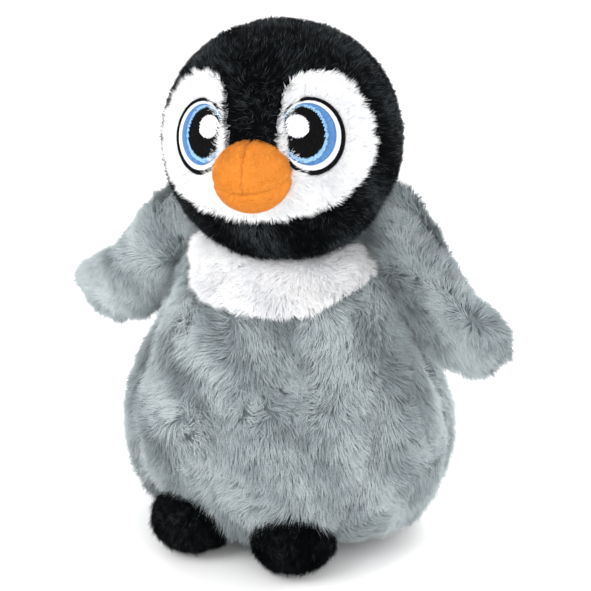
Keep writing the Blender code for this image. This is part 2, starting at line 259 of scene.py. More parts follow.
def stuff(obj: bpy.types.Object, voxel: float, cap: float) -> None:
    """Fill a form as stuffing does: remesh it, blow it up as cloth and cap how far it moves.

    Args:
        obj: The form to fill; its mesh is replaced.
        voxel: Size of the new mesh's faces in metres.
        cap: Furthest that a point may move in metres.
    """
    apply(obj, "REMESH", mode="VOXEL", voxel_size=voxel, use_smooth_shade=True)
    apply(obj, "SMOOTH", factor=0.5, iterations=3)
    start = points_of(obj)
    pick(obj)
    cloth = obj.modifiers.new("cloth", "CLOTH")
    cloth.settings.use_pressure = True
    cloth.settings.uniform_pressure_force = 4.0
    cloth.settings.effector_weights.gravity = 0.0
    cloth.settings.quality = 5
    cloth.settings.tension_stiffness = 20
    cloth.settings.bending_stiffness = 0.3
    scene = bpy.context.scene
    scene.frame_start, scene.frame_end = 1, SIM_FRAMES
    cloth.point_cache.frame_start, cloth.point_cache.frame_end = 1, SIM_FRAMES
    for number in range(1, SIM_FRAMES + 1):
        scene.frame_set(number)
    bpy.ops.object.modifier_apply(modifier="cloth")
    scene.frame_set(1)
    move = points_of(obj) - start
    far = np.linalg.norm(move, axis=1, keepdims=True)
    place_points(obj, start + move * np.minimum(1, cap / np.maximum(far, 1e-9)))
    apply(obj, "SUBSURF", levels=1, render_levels=1)


@dataclass
class Skin:
    """Triangles that pile grows from or that back it."""

    points: Array
    faces: Array
    normals: Array

    @classmethod
    def of(cls, obj: bpy.types.Object) -> "Skin":
        """Read an object's triangles and normals."""
        mesh = obj.data
        mesh.calc_loop_triangles()
        faces = np.empty(len(mesh.loop_triangles) * 3, np.int64)
        mesh.loop_triangles.foreach_get("vertices", faces)
        normals = np.empty(len(mesh.vertices) * 3)
        mesh.vertices.foreach_get("normal", normals)
        return cls(points_of(obj), faces.reshape(-1, 3), normals.reshape(-1, 3))

    @classmethod
    def take(cls, obj: bpy.types.Object) -> "Skin":
        """Read an object's triangles and normals, then take the object away."""
        skin = cls.of(obj)
        remove(obj)
        return skin

    def middles(self) -> Array:
        """Return the middle of every triangle."""
        return self.points[self.faces].mean(1)

    def scatter(self, count: int, rng: np.random.Generator) -> tuple[Array, Array]:
        """Spread roots evenly over the skin.

        Args:
            count: How many roots.
            rng: Source of random numbers.

        Returns:
            The roots and the skin's normals there.
        """
        a, b, c = (self.points[self.faces[:, i]] for i in range(3))
        area = np.linalg.norm(np.cross(b - a, c - a), axis=1)
        steps = (np.arange(count) + rng.random(count)) / count * area.sum()
        chosen = np.clip(np.searchsorted(np.cumsum(area), steps), 0, len(area) - 1)
        u, v = rng.random(count), rng.random(count)
        flip = u + v > 1
        u[flip], v[flip] = 1 - u[flip], 1 - v[flip]
        w = np.stack([1 - u - v, u, v], 1)[:, :, None]
        picked = self.faces[chosen]
        return (self.points[picked] * w).sum(1), unit((self.normals[picked] * w).sum(1))

    def part(self, keep: Array, thick: float) -> "Skin":
        """Cut out the triangles to keep as a closed cloth of some thickness."""
        used, faces = np.unique(self.faces[keep], return_inverse=True)
        mesh = bpy.data.meshes.new("cloth")
        mesh.from_pydata(self.points[used].tolist(), [], faces.reshape(-1, 3).tolist())
        obj = bpy.data.objects.new("cloth", mesh)
        bpy.context.scene.collection.objects.link(obj)
        apply(obj, "SOLIDIFY", thickness=thick, offset=-1.0)
        return Skin.take(obj)


# ---------------------------------------------------------------- pile


@dataclass(frozen=True)
class Pile:
    """How a fur lies: sizes in metres, the rest as shares."""

    length: float
    height: float
    width: float
    tuft: float
    gather: float
    swirl: float
    wander: float
    ruffle: float
    strands: int = 0
    tone_spread: float = 0.22
    gap_shade: float = 0.12
    soft: float = 0.5
    patches: float = 0.17
    # share of strands lightened as painted sheen glints
    sheen_specks: float = 0.0
    dim: float = 0.0


BODY_PILE = Pile(length=9.0 * MM, height=6.0 * MM, width=0.21 * MM, tuft=3.6 * MM, gather=0.26, swirl=30 * MM,
                 wander=0.85, ruffle=0.24)
WING_PILE = Pile(length=8.6 * MM, height=5.4 * MM, width=0.21 * MM, tuft=3.6 * MM, gather=0.26, swirl=28 * MM,
                 wander=0.7, ruffle=0.24, strands=20000, soft=0.42)
BIB_PILE = Pile(length=7.5 * MM, height=5.6 * MM, width=0.22 * MM, tuft=3.4 * MM, gather=0.30, swirl=30 * MM,
                wander=0.4, ruffle=0.22, tone_spread=0.2, gap_shade=0.08)
FACE_PILE = Pile(length=5.0 * MM, height=3.9 * MM, width=0.20 * MM, tuft=2.4 * MM, gather=0.22, swirl=22 * MM,
                 wander=0.3, ruffle=0.2, tone_spread=0.2, gap_shade=0.10)
HOOD_PILE = Pile(length=5.0 * MM, height=3.8 * MM, width=0.20 * MM, tuft=2.2 * MM, gather=0.22, swirl=26 * MM,
                 wander=0.4, ruffle=0.3, tone_spread=0.5, gap_shade=0.10, soft=0.45, patches=0.18,
                 sheen_specks=0.07, dim=0.20)
FOOT_PILE = Pile(length=5.5 * MM, height=3.8 * MM, width=0.21 * MM, tuft=2.6 * MM, gather=0.3, swirl=20 * MM,
                 wander=0.4, ruffle=0.35, tone_spread=0.4, gap_shade=0.1, soft=0.45, patches=0.1, sheen_specks=0.01,
                 dim=0.36)
BEAK_NAP = Pile(length=1.1 * MM, height=0.6 * MM, width=0.14 * MM, tuft=1.2 * MM, gather=0.2, swirl=6 * MM,
                wander=1.0, ruffle=0.8, strands=5500, tone_spread=0.5, gap_shade=0.1, soft=0.85)


@dataclass
class Strands:
    """Spindles with a root, a ring of three points and a tip."""

    points: Array
    normals: Array
    tone: Array

    FACES = np.array([[1, 3, 4], [3, 2, 4], [2, 1, 4], [3, 1, 0], [2, 3, 0], [1, 2, 0]])
    CELL = np.array([
        [0, .5], [.33, .5], [.16, 1], [.33, .5], [.66, .5], [.5, 1], [.66, .5], [1, .5], [.83, 1],
        [.33, .5], [0, .5], [.16, 0], [.66, .5], [.33, .5], [.5, 0], [1, .5], [.66, .5], [.83, 0],
    ])

    def faces(self, first: int) -> Array:
        """Return the strands' triangles, numbered on from a first point."""
        start = first + 5 * np.arange(len(self.points))
        return (start[:, None, None] + self.FACES).reshape(-1, 3)


def spindles(root: Array, middle: Array, tip: Array, out: Array, width: Array, soft: float
             ) -> tuple[Array, Array]:
    """Lay a spindle along each root, middle and tip.

    Args:
        root: Start points.
        middle: Bend points.
        tip: End points.
        out: Normals of the skin.
        width: Widths at the bend.
        soft: Share of the skin's normal in the shading.

    Returns:
        Points and normals, five for each spindle.
    """
    along = unit(tip - root)
    side = unit(np.cross(along, out) + 1e-9)
    up = np.cross(along, side)
    up = np.where(dot(up, out) < 0, -up, up)
    side = np.cross(up, along)
    wide = width[:, None] * 0.5
    ring = [middle + side * wide, middle - side * wide, middle + up * wide * 0.8]
    points = np.stack([root, *ring, tip], 1)
    lean = 1 - soft
    shade = [out, out * soft + side * lean, out * soft - side * lean, out * soft + up * lean]
    return points, unit(np.stack([*shade, out * soft + along * lean], 1))


def grow(skin: Skin, pile: Pile, flow: Flow, seed: int, keep: Test, trim: Flow | None = None) -> Strands:
    """Grow a pile on the part of a skin that a test keeps.

    Args:
        skin: The cloth that the pile grows on.
        pile: How the pile lies.
        flow: Gives the combed direction for roots and normals.
        seed: Number that picks the pattern.
        keep: Tells which roots to keep.
        trim: Gives a share of the length for roots and normals.

    Returns:
        The strands.
    """
    rng = np.random.default_rng(seed)
    trial, _ = skin.scatter(TRIAL_ROOTS, np.random.default_rng(seed + 1))
    share = max(LEAST_SHARE, keep(trial).mean())
    root, out = skin.scatter(int(pile.strands / share), rng)
    kept = keep(root)
    root, out = root[kept], out[kept]
    count = len(root)
    middle, number = tufts(root + drift(root, pile.tuft * 3, seed) * pile.tuft * 0.3, pile.tuft, seed)
    fine, second = tufts(root, pile.tuft * 0.38, seed + 5)
    lie = flow(root, out)
    lie = lie + drift(root, pile.swirl, seed + 2) * pile.wander
    lie = lie + (number - 0.5) * pile.ruffle * 2 + (second - 0.5) * pile.ruffle
    lie = unit(lie - out * dot(lie, out)) + rng.normal(size=(count, 3)) * STRAY
    spread = rng.random(count)
    length = pile.length * (0.72 + 0.42 * spread) * (0.82 + 0.36 * number[:, 0])
    if trim is not None:
        length = length * trim(root, out)
    rise = pile.height / pile.length
    rise = rise * (0.75 + 0.5 * number[:, 1:2])
    half = length[:, None] * 0.5
    bend = root + unit(out * (rise + 0.30) + lie * (1 - 0.3 * rise)) * half
    tip = bend + unit(out * (rise - 0.22) + lie) * half
    pull = middle - root
    pull = pull - out * dot(pull, out)
    small = fine - root
    small = small - out * dot(small, out)
    tip = tip + (pull * 0.62 + small * 0.38) * pile.gather
    bend = bend + (pull * 0.3 + small * 0.25) * pile.gather
    width = pile.width * (0.7 + 0.6 * rng.random(count))
    bend[:, 2], tip[:, 2] = np.maximum(bend[:, 2], FLOOR_GAP), np.maximum(tip[:, 2], FLOOR_GAP)
    points, normals = spindles(root, bend, tip, out, width, pile.soft)
    points[:, :, 2] = np.maximum(points[:, :, 2], FLOOR_GAP * 0.5)
    edge = np.linalg.norm(pull, axis=1) / pile.tuft
    shade = (number[:, 2] - 0.5) * 0.7 + (second[:, 2] - 0.5) * 0.5 + (spread - 0.5) * 0.6
    shade = shade * pile.tone_spread - np.clip(edge - 0.25, 0, 1) * pile.gap_shade
    shade = shade + drift(root, FINE_PATCH, seed + 9)[:, 0] * pile.patches * 0.35
    shade = shade + drift(root, BROAD_PATCH, 8)[:, 0] * pile.patches - pile.dim
    # painted sheen: a share of strands made much lighter, as glints on the pile
    shade = shade + (rng.random(count) < pile.sheen_specks) * 0.6
    # Tone at root, bend sides, bend top and tip: the dark root is painted shade deep in the pile, and the
    # lighter bend top and tip are painted light
    steps = np.array([0.05, 0.5, 0.5, 0.56, 0.92])
    tone = np.clip(steps + shade[:, None] * np.array([0.4, 1, 1, 1, 1.1]), 0.04, 1)
    return Strands(points, normals, tone)


def assemble(name: str, backing: Skin | None, strands: Strands | None, material: bpy.types.Material,
             ground: float = 0.15) -> bpy.types.Object:
    """Make one object of a backing cloth and its strands.

    Args:
        name: The piece's name.
        backing: The closed cloth, if any.
        strands: The strands, if any.
        material: The finish of the whole piece.
        ground: Tone of the backing cloth; the low default darkens it as painted shade under the pile.

    Returns:
        The new object, at the origin.
    """
    points, normals, tone, faces, cells = [], [], [], [], []
    first, tiles = 0, 0
    if backing is not None:
        points.append(backing.points)
        normals.append(backing.normals)
        tone.append(np.full(len(backing.points), ground))
        faces.append(backing.faces)
        first, tiles = len(backing.points), len(backing.faces)
        cells.append(np.tile([[0.05, 0.05], [0.95, 0.05], [0.05, 0.95]], (tiles, 1)))
    count = tiles
    if strands is not None:
        points.append(strands.points.reshape(-1, 3))
        normals.append(strands.normals.reshape(-1, 3))
        tone.append(strands.tone.ravel())
        faces.append(strands.faces(first))
        cells.append(np.tile(Strands.CELL, (len(strands.points), 1)))
        count += len(strands.points)
    points, faces = np.concatenate(points), np.concatenate(faces)
    mesh = bpy.data.meshes.new(name)
    mesh.vertices.add(len(points))
    mesh.vertices.foreach_set("co", points.ravel())
    mesh.loops.add(faces.size)
    mesh.loops.foreach_set("vertex_index", faces.ravel().astype(np.int32))
    mesh.polygons.add(len(faces))
    mesh.polygons.foreach_set("loop_start", np.arange(0, faces.size, 3, dtype=np.int32))
    mesh.update(calc_edges=True)
    mesh.attributes.new("tone", "FLOAT", "POINT").data.foreach_set(
        "value", np.concatenate(tone).astype(np.float32))
    columns = max(1, math.ceil(math.sqrt(count * 2.4)))
    rows = math.ceil(count / columns)
    index = np.concatenate([np.repeat(np.arange(tiles), 3), np.repeat(np.arange(tiles, count), 18)])
    corner = np.stack([index % columns, index // columns], 1)
    spot = (corner + 0.08 + np.concatenate(cells) * 0.84) / np.array([columns, rows])
    mesh.uv_layers.new(name="OFBake").data.foreach_set("uv", spot.ravel().astype(np.float32))
    mesh.polygons.foreach_set("use_smooth", np.ones(len(faces), bool))
    mesh.normals_split_custom_set_from_vertices(np.concatenate(normals).tolist())
    obj = bpy.data.objects.new(name, mesh)
    bpy.context.scene.collection.objects.link(obj)
    mesh.materials.append(material)
    return obj


# ---------------------------------------------------------------- finishes


def node(tree: bpy.types.NodeTree, kind: str, inputs: dict | None = None, **settings: object
         ) -> bpy.types.Node:
    """Add a shader node.

    Args:
        tree: The tree to add to.
        kind: The node's type, without the leading ShaderNode.
        inputs: For each input, the socket to link to it or the value to set.
        **settings: The node's settings.

    Returns:
        The new node.
    """
    made = tree.nodes.new("ShaderNode" + kind)
    for name, value in settings.items():
        setattr(made, name, value)
    feed(tree, made, inputs or {})
    return made


def feed(tree: bpy.types.NodeTree, target: bpy.types.Node, inputs: dict) -> None:
    """Link each input of a node that is given a socket, and set each that is given a value."""
    for key, value in inputs.items():
        if isinstance(value, bpy.types.NodeSocket):
            tree.links.new(value, target.inputs[key])
        else:
            target.inputs[key].default_value = value


def maths(tree: bpy.types.NodeTree, operation: str, *values: object) -> bpy.types.NodeSocket:
    """Add a Math node on sockets or numbers and return its result."""
    return node(tree, "Math", dict(enumerate(values)), operation=operation).outputs[0]


class Groups:
    """The shader groups that several finishes share, each built once."""

    made: dict[str, bpy.types.NodeTree] = {}

    @classmethod
    def start(cls, name: str, takes: dict[str, str], gives: dict[str, str]) -> bpy.types.NodeTree:
        """Make an empty group whose inputs and outputs have the given names and kinds."""
        tree = bpy.data.node_groups.new(name, "ShaderNodeTree")
        for side, sockets in (("INPUT", takes), ("OUTPUT", gives)):
            for label, kind in sockets.items():
                tree.interface.new_socket(name=label, in_out=side, socket_type="NodeSocket" + kind)
        cls.made[name] = tree
        return tree

    @classmethod
    def pile_colour(cls) -> bpy.types.NodeTree:
        """Colour a strand from its dark root to its light tip, with soft mottling: the dark root is painted
        shade deep in the pile and the light tip painted light where the pile catches it.
        """
        if "Pile colour" in cls.made:
            return cls.made["Pile colour"]
        takes = {"Tone": "Float", "Root": "Color", "Middle": "Color", "Tip": "Color", "Mottle": "Float",
                 "Scale": "Float", "Vector": "Vector"}
        tree = cls.start("Pile colour", takes, {"Colour": "Color"})
        given, out = tree.nodes.new("NodeGroupInput").outputs, tree.nodes.new("NodeGroupOutput")
        colour = given["Root"]
        for label, low, high in (("Middle", 0.0, 0.5), ("Tip", 0.5, 1.0)):
            part = node(tree, "MapRange", {"Value": given["Tone"], "From Min": low, "From Max": high})
            mixed = {"Factor": part.outputs["Result"], "A": colour, "B": given[label]}
            colour = node(tree, "Mix", mixed, data_type="RGBA").outputs["Result"]
        cloud = node(tree, "TexNoise", {"Vector": given["Vector"], "Scale": given["Scale"], "Detail": 4.0})
        centre = maths(tree, "SUBTRACT", cloud.outputs["Fac"], 0.5)
        amount = maths(tree, "MULTIPLY_ADD", centre, given["Mottle"], 1.0)
        shade = node(tree, "VectorMath", {0: colour, "Scale": amount}, operation="SCALE")
        feed(tree, out, {"Colour": shade.outputs["Vector"]})
        return tree

    @classmethod
    def grain(cls) -> bpy.types.NodeTree:
        """Give the fine fibrous grain of felted cloth as a mask and a height."""
        if "Fibre grain" in cls.made:
            return cls.made["Fibre grain"]
        takes = {"Vector": "Vector", "Scale": "Float"}
        tree = cls.start("Fibre grain", takes, {"Mask": "Float", "Height": "Float"})
        given, out = tree.nodes.new("NodeGroupInput").outputs, tree.nodes.new("NodeGroupOutput")
        place, scale = given["Vector"], given["Scale"]
        fine = node(tree, "TexNoise", {"Vector": place, "Scale": scale, "Detail": 6.0, "Roughness": 0.65})
        third = maths(tree, "MULTIPLY", scale, 0.3)
        broad = node(tree, "TexNoise", {"Vector": place, "Scale": third, "Detail": 3.0})
        less = maths(tree, "MULTIPLY", broad.outputs["Fac"], 0.4)
        both = maths(tree, "MULTIPLY_ADD", fine.outputs["Fac"], 0.6, less)
        feed(tree, out, {"Mask": both, "Height": fine.outputs["Fac"]})
        return tree


@dataclass(frozen=True)
class Finish:
    """A fabric finish: linear colours of root, middle and tip, and how it takes the light; the darker root
    and lighter tip are painted shade and light in the pile.
    """

    name: str
    root: tuple[float, float, float]
    middle: tuple[float, float, float]
    tip: tuple[float, float, float]
    mottle: float = 0.3
    scale: float = 40.0
    roughness: float = 0.85
    sheen: float = 0.25
    grain_scale: float = 0.0
    bump: float = 0.0
    gloss: float = 0.0

    def material(self) -> bpy.types.Material:
        """Build the finish once and return its material."""
        found = bpy.data.materials.get(self.name)
        if found:
            return found
        mat = bpy.data.materials.new(self.name)
        mat.use_nodes = True
        tree = mat.node_tree
        shader = tree.nodes["Principled BSDF"]
        feed(tree, shader, {"Roughness": self.roughness, "Metallic": 0.0, "Specular IOR Level": self.gloss,
                            "Sheen Weight": self.sheen, "Sheen Roughness": 0.5})
        where = node(tree, "TexCoord").outputs["Object"]
        tone = node(tree, "Attribute", attribute_name="tone").outputs["Fac"]
        if self.bump:
            grain = node(tree, "Group", node_tree=Groups.grain())
            feed(tree, grain, {"Vector": where, "Scale": self.grain_scale})
            lumps = {"Strength": self.bump, "Distance": 0.4 * MM, "Height": grain.outputs["Height"]}
            feed(tree, shader, {"Normal": node(tree, "Bump", lumps).outputs["Normal"]})
            lower = maths(tree, "SUBTRACT", tone, 0.45)
            tone = maths(tree, "MULTIPLY_ADD", grain.outputs["Mask"], 0.9, lower)
        colour = node(tree, "Group", node_tree=Groups.pile_colour())
        feed(tree, colour, {"Root": (*self.root, 1.0), "Middle": (*self.middle, 1.0), "Tip": (*self.tip, 1.0),
                            "Mottle": self.mottle, "Scale": self.scale, "Vector": where, "Tone": tone})
        feed(tree, shader, {"Base Color": colour.outputs["Colour"]})
        return mat


class Cloth(Enum):
    """The finishes that the toy is sewn from."""

    GREY = Finish("grey_fur", (0.105, 0.124, 0.131), (0.310, 0.356, 0.370), (0.550, 0.608, 0.622),
                  mottle=0.30, scale=45, roughness=0.9, sheen=0.05)
    # Painted sheen: the black pile's tip colour is about nine times lighter than its middle
    BLACK = Finish("black_fur", (0.0010, 0.0012, 0.0014), (0.0050, 0.0062, 0.0070), (0.045, 0.052, 0.057),
                   mottle=0.5, scale=60, roughness=0.9, sheen=0.0, gloss=0.02)
    WHITE = Finish("white_fur", (0.70, 0.71, 0.74), (0.91, 0.92, 0.935), (0.97, 0.97, 0.97),
                   mottle=0.05, scale=60, roughness=0.9, sheen=0.05)
    ORANGE = Finish("orange_felt", (0.46, 0.105, 0.008), (0.74, 0.240, 0.034), (0.88, 0.345, 0.065),
                    mottle=0.25, scale=90, roughness=0.9, sheen=0.03, grain_scale=1500, bump=0.6)
    BLACK_THREAD = Finish("black_stitch", (0.0010, 0.0010, 0.0013), (0.0030, 0.0030, 0.0035),
                          (0.014, 0.014, 0.016), mottle=0.3, scale=200, roughness=0.5, sheen=0.0, gloss=0.05)
    WHITE_THREAD = Finish("white_stitch", (0.50, 0.50, 0.62), (0.74, 0.74, 0.84), (0.92, 0.92, 0.96),
                          mottle=0.1, scale=200, roughness=0.5, sheen=0.0, gloss=0.10)
    BLUE_THREAD = Finish("blue_stitch", (0.03, 0.09, 0.24), (0.085, 0.215, 0.46), (0.36, 0.60, 0.84),
                         mottle=0.2, scale=200, roughness=0.45, sheen=0.0, gloss=0.10)
    FILLING = Finish("fibre_fill", (0.60, 0.60, 0.58), (0.80, 0.80, 0.78), (0.9, 0.9, 0.88),
                     mottle=0.3, scale=80, roughness=1.0, sheen=0.2, grain_scale=700, bump=0.8)


# ---------------------------------------------------------------- shared shapes of the toy


@dataclass(frozen=True)
class Head:
    """Where the head is and how it is turned at rest."""

    centre: tuple[float, float, float] = (0.0, -0.0022, 0.193)
    turn: float = 10.0
    lean: float = 4.0
    radius: float = 57 * MM
    fullness: float = 2.08

    def matrix(self) -> Array:
        """Return the turn and lean as a matrix that acts on columns."""
        turn = Matrix.Rotation(math.radians(self.turn), 3, "Z")
        return np.array(turn @ Matrix.Rotation(math.radians(-self.lean), 3, "Y"))

    def local(self, points: Array) -> Array:
        """Return points about the head's middle, with its turn and lean taken out."""
        return (points - np.array(self.centre)) @ self.matrix()

    def world(self, points: Array) -> Array:
        """Return points of the head's own space in the toy's space."""
        return points @ self.matrix().T + np.array(self.centre)

    def aim(self, vectors: Array) -> Array:
        """Turn directions from the head's own space to the toy's."""
        return vectors @ self.matrix().T


HEAD = Head()
EYE_SIZE = (15.3, 17.0)


@dataclass
class Shape:
    """A padded form with its filling, from which panels are cut."""

    depth: float = 5 * MM
    cloth: float = 0.8 * MM
    fibre_gap: float = 3.6 * MM

    def form(self, inset: float) -> bpy.types.Object:
        """Model the form with its surface moved in."""
        raise NotImplementedError

    def skin(self) -> Skin:
        """Model, fill and crease the skin that the pile grows on."""
        raise NotImplementedError

    def stuffed(self, voxel: float, cap: float) -> Skin:
        """Model the form, fill it as stuff does, and read its skin."""
        obj = self.form(self.depth)
        stuff(obj, voxel, cap)
        return Skin.take(obj)

    def filling(self, name: str, node: str, voxel: float) -> bpy.types.Object:
        """Make the filling inside the skin, lumpy as fibre is.

        Args:
            name: The piece's name.
            node: The part that it stands for.
            voxel: Size of its faces.

        Returns:
            The new piece.
        """
        obj = self.form(self.depth + self.cloth + self.fibre_gap)
        apply(obj, "REMESH", mode="VOXEL", voxel_size=voxel, use_smooth_shade=True)
        skin = Skin.take(obj)
        lumps = drift(skin.points, 18 * MM, 77)[:, :1]
        skin.points = skin.points - skin.normals * (0.5 + 0.5 * lumps) * 0.8 * MM
        piece = assemble(name, skin, None, Cloth.FILLING.value.material(), 0.6)
        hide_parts(node)
        return piece


def side_of(sign: int) -> str:
    """Name the side that a sign stands for."""
    return "left" if sign > 0 else "right"


def dress(piece: bpy.types.Object, node: str, body: str) -> bpy.types.Object:
    """Hide the part that a padded piece stands for, put the piece on its body and log its size."""
    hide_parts(node)
    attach(piece, body)
    log.info("%s: %d triangles", piece.name, len(piece.data.polygons))
    return piece


@dataclass
class Body(Shape):
    """The pear-shaped body: belly, bib, sides, back and base; crease and lump sizes in millimetres."""

    depth: float = 6.0 * MM
    middle_y: float = 3.4 * MM
    squash: float = 0.84
    side_seam: float = 9 * MM
    neck_slope: float = 0.10
    neck_from: float = 0.09
    neck_rise: float = 0.0675
    crease_depth: float = 2.8
    crease_width: float = 5 * MM
    lump_height: float = 0.8
    profile: list[tuple[float, float]] = field(default_factory=lambda: [
        (46, 0), (60, 3.5), (71, 11), (79, 23), (83.5, 37), (85, 53), (82.5, 69), (76, 85),
        (68.5, 100), (64, 114), (59.5, 129), (51.5, 141), (43, 149.5), (30, 155), (0, 157.5),
    ])
    bib_half: list[tuple[float, float]] = field(default_factory=lambda: [
        (0, 120), (14, 120.6), (26, 122.5), (36, 126.5), (43.5, 132), (47.5, 139), (49, 150), (49, 175),
    ])
    belly_half: list[tuple[float, float]] = field(default_factory=lambda: [
        (0, -8), (20, -8), (23, 0), (35, 12), (46, 27), (54, 46), (57, 62), (56.5, 80), (54, 100),
        (50, 116), (43, 131), (0, 131),
    ])
    base: tuple[float, float] = (39 * MM, 33 * MM)

    def form(self, inset: float) -> bpy.types.Object:
        """Spin the pear, squash its depth, slope its neck and hollow it for the head."""
        obj = turned("body_form", self.profile, 56)
        apply(obj, "SUBSURF", levels=1, render_levels=1)
        points = points_of(obj)
        rise = np.clip((points[:, 2] - self.neck_from) / self.neck_rise, 0, 1)
        points[:, 2] += self.neck_slope * points[:, 1] * rise * rise * (3 - 2 * rise)
        points[:, 1] = points[:, 1] * self.squash + self.middle_y
        place_points(obj, points)
        normals = Skin.of(obj).normals
        points = points - normals * inset
        points[:, 2] = np.maximum(points[:, 2], min(inset, 2.2 * MM))
        room = HEAD.radius - 2.0 * MM + max(0.0, inset - self.depth)
        away = points - np.array(HEAD.centre)
        far = np.linalg.norm(away, axis=1, keepdims=True)
        points = np.where(far < room, np.array(HEAD.centre) + away / far * room, points)
        place_points(obj, points)
        return obj

    def panel_of(self, points: Array) -> Array:
        """Number each point's panel: base, bib, belly, sides and backs, left then right."""
        flat = points[:, [0, 2]]
        front = points[:, 1] < self.middle_y
        number = np.where(points[:, 1] < self.side_seam, 3, 5) + (points[:, 0] < 0)
        number[front & inside(mirror_outline(self.belly_half), flat)] = 2
        number[front & inside(mirror_outline(self.bib_half), flat)] = 1
        oval = (points[:, 0] / self.base[0]) ** 2 + ((points[:, 1] - self.middle_y) / self.base[1]) ** 2
        number[(oval < 1) & (points[:, 2] < 8 * MM)] = 0
        return number

    def seam_distance(self, points: Array) -> Array:
        """Return how far each point is from the nearest seam."""
        flat = points[:, [0, 2]]
        front = points[:, 1] < self.middle_y
        belly = away_from(mirror_outline(self.belly_half), flat)
        bib = away_from(mirror_outline(self.bib_half), flat)
        far = np.minimum(np.where(front, belly, 1.0), np.where(front, bib * 1.6, 1.0))
        far = np.minimum(far, np.abs(points[:, 1] - self.side_seam))
        return np.minimum(far, np.where(points[:, 1] > 0.02, np.abs(points[:, 0]), 1.0))

    def skin(self) -> Skin:
        """Fill the pear and pull its seams in."""
        skin = self.stuffed(6 * MM, 2.0 * MM)
        crease = np.exp(-((self.seam_distance(skin.points) / self.crease_width) ** 2))
        lump = drift(skin.points, 60 * MM, 3)[:, 0] * self.lump_height * MM
        skin.points = skin.points - skin.normals * (crease * self.crease_depth * MM - lump)[:, None]
        skin.points[:, 2] = np.maximum(skin.points[:, 2], 1.6 * MM)
        return skin

    def flow(self, points: Array, out: Array) -> Array:
        """Comb the fur down and a little outwards."""
        lie = np.tile([0.0, 0.0, -1.0], (len(points), 1))
        lie[:, 0] = points[:, 0] * 9
        return lie

    def trim(self, points: Array, out: Array) -> Array:
        """Shorten the fur at the seams, under the base and beside the head."""
        near = np.exp(-((self.seam_distance(points) / (3.5 * MM)) ** 2))
        low = smooth(points[:, 2], 0.0, 14 * MM)
        head = np.linalg.norm(points - np.array(HEAD.centre), axis=1) - HEAD.radius
        return (1 - 0.4 * near) * (0.3 + 0.7 * low) * (0.45 + 0.55 * smooth(head, -2 * MM, 10 * MM))

    def build(self) -> None:
        """Make the body's seven panels and its filling."""
        skin = self.skin()
        where = self.panel_of(skin.middles())
        names = ["base_panel", "bib_panel", "belly_panel", "side_panel_left", "side_panel_right",
                 "back_panel_left", "back_panel_right"]
        counts = [1800, 17000, 48000, 22000, 22000, 22000, 22000]
        for index, (name, count) in enumerate(zip(names, counts)):
            pile, finish = (BIB_PILE, Cloth.WHITE) if name == "bib_panel" else (BODY_PILE, Cloth.GREY)
            strands = grow(skin, replace(pile, strands=count), self.flow, 40 + index,
                           lambda p, i=index: self.reach(p) & (self.panel_of(p) == i), self.trim)
            piece = assemble(f"{name}_plush", skin.part(where == index, self.cloth), strands,
                             finish.value.material())
            dress(piece, name, "body")
        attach(self.filling("body_fibre", "body_stuffing", 5 * MM), "body")

    def outside(self, points: Array, margin: float) -> Array:
        """Tell which points lie outside the pear, or within a margin under its surface."""
        radius = np.interp(points[:, 2], [z * MM for _, z in self.profile], [r * MM for r, _ in self.profile])
        return np.hypot(points[:, 0], (points[:, 1] - self.middle_y) / self.squash) > radius - margin

    def reach(self, points: Array) -> Array:
        """Tell which roots aren't under the head."""
        return np.linalg.norm(points - np.array(HEAD.centre), axis=1) > HEAD.radius - 1.2 * MM


